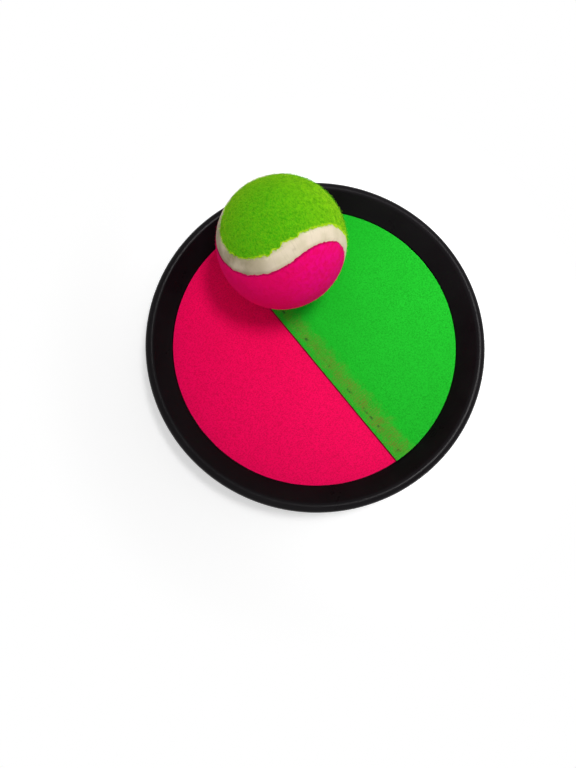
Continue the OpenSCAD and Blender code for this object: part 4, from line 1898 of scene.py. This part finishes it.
@dataclass
class HandStrap:
    """The strap at the back: a band sewn round one bar, a tail that peels off, and their two patches."""

    width: float = 38.0
    thick: float = 1.4
    bar_r: float = 2.0
    bar_gap: float = 0.2
    climb: float = 45.0
    bend_r: float = 3.0
    sewn_len: float = 12.0
    sewn_gap: float = 0.05
    parting_deg: float = 60.0
    tail_corner_r: float = 9.0
    blend_past: float = 1.5
    line_step: float = 1.2
    rib_pitch: float = 1.27
    rib_h: float = 0.05
    rib_points: int = 4
    side_points: int = 7
    patch_corner_r: float = 6.5
    patch_square_r: float = 0.8
    tape_edge: float = 0.15
    loop_tape_up: float = 0.38
    loop_root_up: float = 0.42
    loop_margin: float = 0.6
    loop_ring: Corner = (0.26, 0.22, 0.2)
    loop_turn: tuple[float, float, int] = (200.0, -20.0, 7)
    loop_thread_r: float = 0.05
    hook_tape_t: float = 0.4
    hook_root_up: float = 0.34
    hook_start: float = 2.6
    hook_stop: Flat = (1.0, 2.0)
    hook_pitch: float = 1.5
    stitch_pitch: float = 2.7
    stitch_inset: float = 1.6
    stitch_rise: float = 0.14
    stitch_x: tuple[float, ...] = (-1.05, -0.85, -0.4, 0.0, 0.4, 0.85, 1.05)
    stitch_radii: tuple[float, ...] = (0.1, 0.22, 0.26, 0.27, 0.26, 0.22, 0.1)
    box_inset: Flat = (2.6, 3.0)
    loop_row_up: float = 0.1
    hook_row_up: float = 0.5
    finish: Webbing = Webbing()
    tape: Plain = Plain("patch_tape", (0.008, 0.008, 0.009), (0.02, 0.02, 0.022), 0.75)
    pile: Strand = Strand("patch_nylon", (0.010, 0.010, 0.011), (0.035, 0.035, 0.038))
    thread: Plain = Plain("sewing_thread", (0.035, 0.035, 0.038), (0.09, 0.09, 0.096), 0.55, 3000)

    def __post_init__(self) -> None:
        """Takes the heights, the bars and the patches from the solids."""
        self.bar_x, self.bar_z = strap_bar()
        self.loop_box, self.hook_box = box_mm("strap_loop_patch"), box_mm("strap_hook_patch")
        tail_low = box_mm("strap_tail")[0]
        self.tail_z = tail_low.z + self.thick / 2
        self.tail_end_x = tail_low.x
        self.band_z = self.loop_box[1].z + self.thick / 2
        self.sewn_z = self.band_z + self.thick + self.sewn_gap
        self.wrap_r = self.bar_r + self.bar_gap + self.thick / 2
        self.sewn_x = -self.bar_x + self.reach(self.sewn_z, 1)
        self.level_x = -self.bar_x + self.reach(self.band_z, -1)
        self.band_end_x = self.bar_x - self.reach(self.band_z, 1)
        self.tail_bend_x = self.bar_x - self.reach(self.tail_z, -1)

    def reach(self, z: float, side: int) -> float:
        """How far from a bar the strap that goes over it, side 1, or under it, -1, reaches a height."""
        slope = math.radians(self.climb)
        return (side * self.wrap_r + (self.bar_z - z) * math.cos(slope)) / math.sin(slope)

    def on_bar(self, side: int, angle: float) -> Flat:
        """A point of the strap's middle line on a bar, at an angle from +X in degrees."""
        a = math.radians(angle)
        return (side * self.bar_x + self.wrap_r * math.cos(a), self.bar_z + self.wrap_r * math.sin(a))

    def band_path(self) -> list[Flat]:
        """Lays out the band's middle line.

        Returns:
            Its points in X and Z, from the sewn end to the top of the far bar.
        """
        low, high = 90 - self.climb, 90 + self.climb
        start = rounded([
            (self.sewn_x + self.sewn_len, self.sewn_z, 0),
            (self.sewn_x, self.sewn_z, self.bend_r),
            (*self.on_bar(-1, low), 0),
        ])
        level = rounded([
            (*self.on_bar(-1, 180 + low), 0),
            (self.level_x, self.band_z, self.bend_r),
            (self.band_end_x, self.band_z, self.bend_r),
            (*self.on_bar(1, high), 0),
        ])
        first_bar = arc((-self.bar_x, self.bar_z), self.wrap_r, low, 180 + low)
        last_bar = arc((self.bar_x, self.bar_z), self.wrap_r, high, self.parting_deg)
        return start[:-1] + first_bar + level[1:-1] + last_bar

    def tail_path(self) -> list[Flat]:
        """Lays out the tail's middle line.

        Returns:
            Its points in X and Z, from the top of its bar to its free end.
        """
        bar = arc((self.bar_x, self.bar_z), self.wrap_r, self.parting_deg, self.climb - 90)
        rest = rounded([
            (*bar[-1], 0),
            (self.tail_bend_x, self.tail_z, self.bend_r),
            (self.tail_end_x, self.tail_z, 0),
        ])
        return bar[:-1] + rest

    def ribbon(self, name: str, path: Sequence[Flat], end_r: float = 0.0) -> tuple[Object, float]:
        """Webbing along a path, with ribs along it and rounded sides.

        Args:
            name: The piece's name.
            path: Its middle line in X and Z.
            end_r: Radius that rounds the corners of its last end.

        Returns:
            The piece, with its length and width laid out as the UV map laid, and its length.
        """
        line = spaced(path, self.line_step)
        steps = np.linalg.norm(np.diff(line, axis=0), axis=1)
        lengths = np.concatenate(((0.0,), np.cumsum(steps)))
        along = np.gradient(line, axis=0)
        normal = np.column_stack((-along[:, 1], along[:, 0]))
        normal /= np.linalg.norm(normal, axis=1)[:, None]
        half, side_r = self.width / 2, self.thick / 2 - self.rib_h
        rib_count = round(self.width / self.rib_pitch)
        y = np.linspace(half - side_r, side_r - half, self.rib_points * rib_count)
        ribs = self.thick / 2 - self.rib_h + self.rib_h * np.cos(2 * math.pi * y / self.rib_pitch)
        round_a = np.radians(np.linspace(90, -90, self.side_points))[1:-1]
        side_y, side_h = half - side_r + side_r * np.cos(round_a), side_r * np.sin(round_a)
        section_y = np.concatenate((y[::-1], side_y, y, -side_y))
        section_h = np.concatenate((ribs[::-1], side_h, -ribs, -side_h))
        n, m = len(line), len(section_y)
        left = lengths[-1] - lengths
        corner = end_r - np.sqrt(np.clip(end_r**2 - (end_r - left) ** 2, 0, None))
        scale = 1 - np.where(left < end_r, corner, 0.0) / half
        points = np.empty((n, m, 3))
        points[:, :, 0] = line[:, 0, None] + normal[:, 0, None] * section_h[None, :]
        points[:, :, 1] = section_y[None, :] * scale[:, None]
        points[:, :, 2] = line[:, 1, None] + normal[:, 1, None] * section_h[None, :]
        index = np.arange(n * m).reshape(n, m)
        after = np.roll(index, -1, axis=1)
        sides = np.stack((index[:-1], index[1:], after[1:], after[:-1]), axis=-1).reshape(-1, 4)
        faces = sides.tolist() + [index[0].tolist(), index[-1, ::-1].tolist()]
        made = make_object(name, points.reshape(-1, 3), faces)
        face_outwards(made)
        laid = made.data.uv_layers.new(name="laid")
        uv = np.column_stack((np.repeat(lengths, m), np.tile(section_y, n))) * MM
        corners = np.empty(len(made.data.loops), np.int32)
        made.data.loops.foreach_get("vertex_index", corners)
        laid.data.foreach_set("uv", uv[corners].astype(np.float32).ravel())
        return made, float(lengths[-1])

    def patch_outline(self, box: Box, corner_r: float, inset: float = 0.0) -> list[Flat]:
        """Outline of a patch in plan, its corners at the low end rounded.

        Args:
            box: The patch's solid.
            corner_r: Radius of the corners at its low end.
            inset: How far inside the solid's box it runs.

        Returns:
            The outline, counter-clockwise.
        """
        low, high = box[0] + Vector((inset, inset, 0)), box[1] - Vector((inset, inset, 0))
        middle = (high.x, 0.0, 0.0)
        return rounded([
            middle,
            (high.x, high.y, self.patch_square_r),
            (low.x, high.y, corner_r),
            (low.x, low.y, corner_r),
            (high.x, low.y, self.patch_square_r),
            middle,
        ])[:-1]

    def sewn(self, name: str, lines: Sequence[tuple[Sequence[Flat], float]]) -> Object:
        """Rows of stitches.

        Args:
            name: The piece's name.
            lines: Each row's points in plan, and its height.

        Returns:
            All the stitches as one mesh.
        """
        points: list[Corner] = []
        edges: list[tuple[int, int]] = []
        for plan, z in lines:
            base = len(points)
            points += [(x, y, z) for x, y in plan]
            edges += [(base + i, base + i + 1) for i in range(len(plan) - 1)]
        end = self.stitch_x[-1]
        line = [(x, self.stitch_rise * (1 - (x / end) ** 2)) for x in self.stitch_x]
        stitch = Thread("stitch_shape", line, self.stitch_radii, sides=6)
        host = make_object(name, points, edges=edges)
        return stitch_tree().spread(
            stitch, host, self.thread.material(), Seed=4, Pitch=self.stitch_pitch * MM, Smallest=0.9,
            Largest=1.08,
        )

    def row_round(self, box: Box, corner_r: float) -> list[Flat]:
        """A closed row of stitches just inside a patch's edge."""
        around = self.patch_outline(box, corner_r, self.stitch_inset)
        return around + around[:1]

    def band_lines(self) -> list[tuple[list[Flat], float]]:
        """Lays out the band's sewing: a box with a cross, and a row round the loop patch.

        Returns:
            Each row's points in plan, and its height.
        """
        low, high = self.sewn_x + self.box_inset[0], self.sewn_x + self.sewn_len - self.stitch_inset
        half = self.width / 2 - self.box_inset[1]
        corners = [(low, -half), (high, -half), (high, half), (low, half), (low, -half)]
        lines = []
        for z in (self.sewn_z + self.thick / 2, self.band_z - self.thick / 2):
            lines += [(corners, z), ([corners[0], corners[2]], z), ([corners[1], corners[3]], z)]
        around = self.row_round(self.loop_box, self.patch_square_r)
        under_z = self.loop_box[0].z + self.loop_row_up
        return lines + [(around, under_z), (around, self.band_z + self.thick / 2)]

    def tail_lines(self) -> list[tuple[list[Flat], float]]:
        """Lays out the tail's sewing: a row round the hook patch, seen on both sides.

        Returns:
            Each row's points in plan, and its height.
        """
        around = self.row_round(self.hook_box, self.patch_corner_r - self.stitch_inset)
        over_z = self.hook_box[0].z + self.hook_row_up
        return [(around, over_z), (around, self.tail_z - self.thick / 2)]

    def loops(self) -> Object:
        """Makes the pile of small loops on the underside of the loop patch.

        Returns:
            All the loops as one mesh.
        """
        half_w, half_h, up = self.loop_ring
        turns = np.radians(np.linspace(*self.loop_turn))
        line = [(half_w * math.cos(a), up + half_h * math.sin(a)) for a in turns]
        loop = Thread("loop_shape", line, [self.loop_thread_r] * len(line))
        margin = Vector((self.loop_margin, self.loop_margin, 0))
        low, high = self.loop_box[0] + margin, self.loop_box[1] - margin
        z = self.loop_box[0].z + self.loop_root_up
        corners = [(low.x, low.y, z), (low.x, high.y, z), (high.x, high.y, z), (high.x, low.y, z)]
        host = make_object("loop_pile", corners, [[0, 1, 2, 3]])
        return nap_tree().spread(
            loop, host, self.pile.material(), Seed=8, Density=1.5e6, Lean=0.8, Smallest=0.7, Largest=1.05
        )

    def hooks(self) -> Object:
        """Makes the hooks on the tail's patch.

        Returns:
            All the hooks as one mesh.
        """
        low, high = self.hook_box
        x, y = np.meshgrid(
            np.arange(low.x + self.hook_start, high.x - self.hook_stop[0], self.hook_pitch),
            np.arange(low.y + self.hook_start, high.y - self.hook_stop[1], self.hook_pitch),
        )
        z = np.full(x.size, low.z + self.hook_root_up)
        host = make_object("hook_rows", np.column_stack((x.ravel(), y.ravel(), z)))
        add_attribute(host, "turn", np.where(np.arange(x.size) % 2, 0.0, math.pi))
        return rows_tree().spread(
            HOOK, host, self.pile.material(), Seed=6, Jitter=0.3, Smallest=0.8, Largest=0.95
        )

    def bend_tail(self, tail: Object) -> None:
        """Bakes the tail's placement into its mesh.

        Args:
            tail: The webbing.
        """
        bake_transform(tail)

    def build(self) -> None:
        """Makes and dresses the strap."""
        nylon, tape = self.finish.material(), self.tape.material()
        band, band_len = self.ribbon("strap_band_webbing", self.band_path())
        dress(band, Body.PADDLE, Slot.WEBBING, nylon, ["strap_band"])
        tail, tail_len = self.ribbon("strap_tail_webbing", self.tail_path(), self.tail_corner_r)
        tail.data.materials.append(nylon)
        self.bend_tail(tail)
        report(tail, Slot.WEBBING, ["strap_tail"])
        low, high = self.loop_box[0].z + self.loop_tape_up, self.loop_box[1].z
        outline = self.patch_outline(self.loop_box, self.patch_square_r)
        loop = slab("loop_patch", outline, low, high, self.tape_edge)
        dress(loop, Body.PADDLE, Slot.PATCH, tape, ["strap_loop_patch"])
        pile = dress(self.loops(), Body.PADDLE, Slot.PATCH)
        low = self.hook_box[0].z
        outline = self.patch_outline(self.hook_box, self.patch_corner_r)
        hook = slab("hook_patch", outline, low, low + self.hook_tape_t, self.tape_edge)
        dress(hook, Body.TAIL, Slot.PATCH, tape, ["strap_hook_patch"])
        rows = dress(self.hooks(), Body.TAIL, Slot.PATCH)
        band_sewing = dress(self.sewn("band_stitches", self.band_lines()), Body.PADDLE, Slot.WEBBING)
        tail_sewing = dress(self.sewn("tail_stitches", self.tail_lines()), Body.TAIL, Slot.WEBBING)


@dataclass(frozen=True)
class SoftLamp:
    """A square lamp: where it hangs, the length of its side, both in metres, and its power in watts."""

    name: str
    place: Corner
    side: float
    watts: float


@dataclass
class Studio:
    """Pale floor, soft light and the camera at the photograph's viewing angle."""

    camera_mm: Corner = (-57.73, -45.90, 292.39)
    camera_turn_deg: Corner = (10.0026, -0.4057, -38.6409)
    focal_px: float = 522.3
    long_side_px: float = 768.0
    sensor_mm: float = 36.0
    clip: Flat = (0.01, 50.0)
    floor_half: float = 3.0
    floor_colour: Colour = (0.90, 0.90, 0.90)
    floor_rough: float = 0.9
    white_from: Flat = (0.09, 0.165)
    glow: float = 0.35
    sky: float = 0.42
    key_place: Corner = (0.27, -0.08, 0.80)
    key_aim: Corner = (0.16, -0.02, 0.0)
    key_watts: float = 30.0
    key_radius: float = 0.16
    key_beam_deg: float = 34.0
    key_fade: float = 0.6
    lamp_aim: Corner = (0.0, 0.0, 0.02)
    lamps: tuple[SoftLamp, ...] = (
        SoftLamp("fill", (-0.5, -0.5, 0.7), 0.7, 0.8),
        SoftLamp("low", (0.25, -0.35, -0.6), 0.7, 12.0),
    )

    def camera(self) -> None:
        """Adds the camera and makes it the scene's."""
        data = bpy.data.cameras.new("camera")
        data.sensor_width = self.sensor_mm
        data.lens = self.focal_px / self.long_side_px * self.sensor_mm
        data.clip_start, data.clip_end = self.clip
        eye = bpy.data.objects.new("camera", data)
        eye.location = Vector(self.camera_mm) * MM
        eye.rotation_euler = [math.radians(a) for a in self.camera_turn_deg]
        bpy.context.scene.collection.objects.link(eye)
        bpy.context.scene.camera = eye

    @staticmethod
    def hang(light: bpy.types.Light, place: Corner, aim: Corner) -> None:
        """Hangs a light.

        Args:
            light: The light.
            place: Where it hangs, in metres.
            aim: The place that it points at.
        """
        made = bpy.data.objects.new(light.name, light)
        made.location = place
        made.rotation_euler = (Vector(aim) - Vector(place)).to_track_quat("-Z", "Y").to_euler()
        bpy.context.scene.collection.objects.link(made)

    def lights(self) -> None:
        """Adds the main lamp, whose soft beam fades towards the pink side, and the square lamps."""
        key = bpy.data.lights.new("key", "SPOT")
        key.energy = self.key_watts
        key.shadow_soft_size = self.key_radius
        key.spot_size = math.radians(self.key_beam_deg)
        key.spot_blend = self.key_fade
        self.hang(key, self.key_place, self.key_aim)
        for lamp in self.lamps:
            light = bpy.data.lights.new(lamp.name, "AREA")
            light.size = lamp.side
            light.energy = lamp.watts
            self.hang(light, lamp.place, self.lamp_aim)

    def floor(self) -> None:
        """Adds the floor, white to the camera where it is lit, and clear from below."""
        paint = Paint("studio_floor")
        paint.done(self.floor_colour, self.floor_rough, gloss=0.0)
        seen = paint.seen()
        glow = paint.add("ShaderNodeEmission", {"Strength": paint.times(seen, self.glow)})
        near = paint.add("ShaderNodeAddShader", {0: paint.shader.outputs[0], 1: glow.outputs[0]})
        away = paint.vector("LENGTH", paint.place)
        far = paint.times(paint.span(away, *self.white_from), seen)
        white = paint.add("ShaderNodeEmission", {"Strength": 1.0})
        lit = paint.add("ShaderNodeMixShader", {0: far, 1: near.outputs[0], 2: white.outputs[0]})
        side = paint.add("ShaderNodeNewGeometry").outputs["Backfacing"]
        clear = paint.add("ShaderNodeBsdfTransparent")
        both = paint.add("ShaderNodeMixShader", {0: side, 1: lit.outputs[0], 2: clear.outputs[0]})
        paint.tree.links.new(both.outputs[0], paint.output.inputs["Surface"])
        half = self.floor_half / MM
        corners = [(-half, -half, 0), (half, -half, 0), (half, half, 0), (-half, half, 0)]
        made = make_object("floor", corners, [[0, 1, 2, 3]])
        made.data.materials.append(paint.material)
        made.visible_shadow = False

    def world(self) -> None:
        """Sets an even pale sky that the camera sees as white."""
        world = bpy.data.worlds.new("studio")
        world.use_nodes = True
        nodes = Nodes(world.node_tree)
        nodes.tree.nodes.clear()
        levels = {"Value": nodes.seen(), "To Min": self.sky, "To Max": 1.0}
        level = nodes.add("ShaderNodeMapRange", levels).outputs[0]
        sky = nodes.add("ShaderNodeBackground", {"Color": (1, 1, 1, 1), "Strength": level})
        nodes.add("ShaderNodeOutputWorld", {"Surface": sky.outputs[0]})
        bpy.context.scene.world = world

    def build(self) -> None:
        """Sets up the studio."""
        bpy.context.scene.view_settings.view_transform = "Standard"
        self.camera()
        self.floor()
        self.world()
        self.lights()


def main() -> None:
    """Builds the studio and every sub-assembly."""
    logging.basicConfig(level=logging.INFO, format="%(message)s")
    for assembly in (Studio(), DishShell(), CatchFace(), FeltBall(), HandStrap()):
        assembly.build()
        LOG.info("%s done", type(assembly).__name__)


if __name__ == "__main__":
    main()
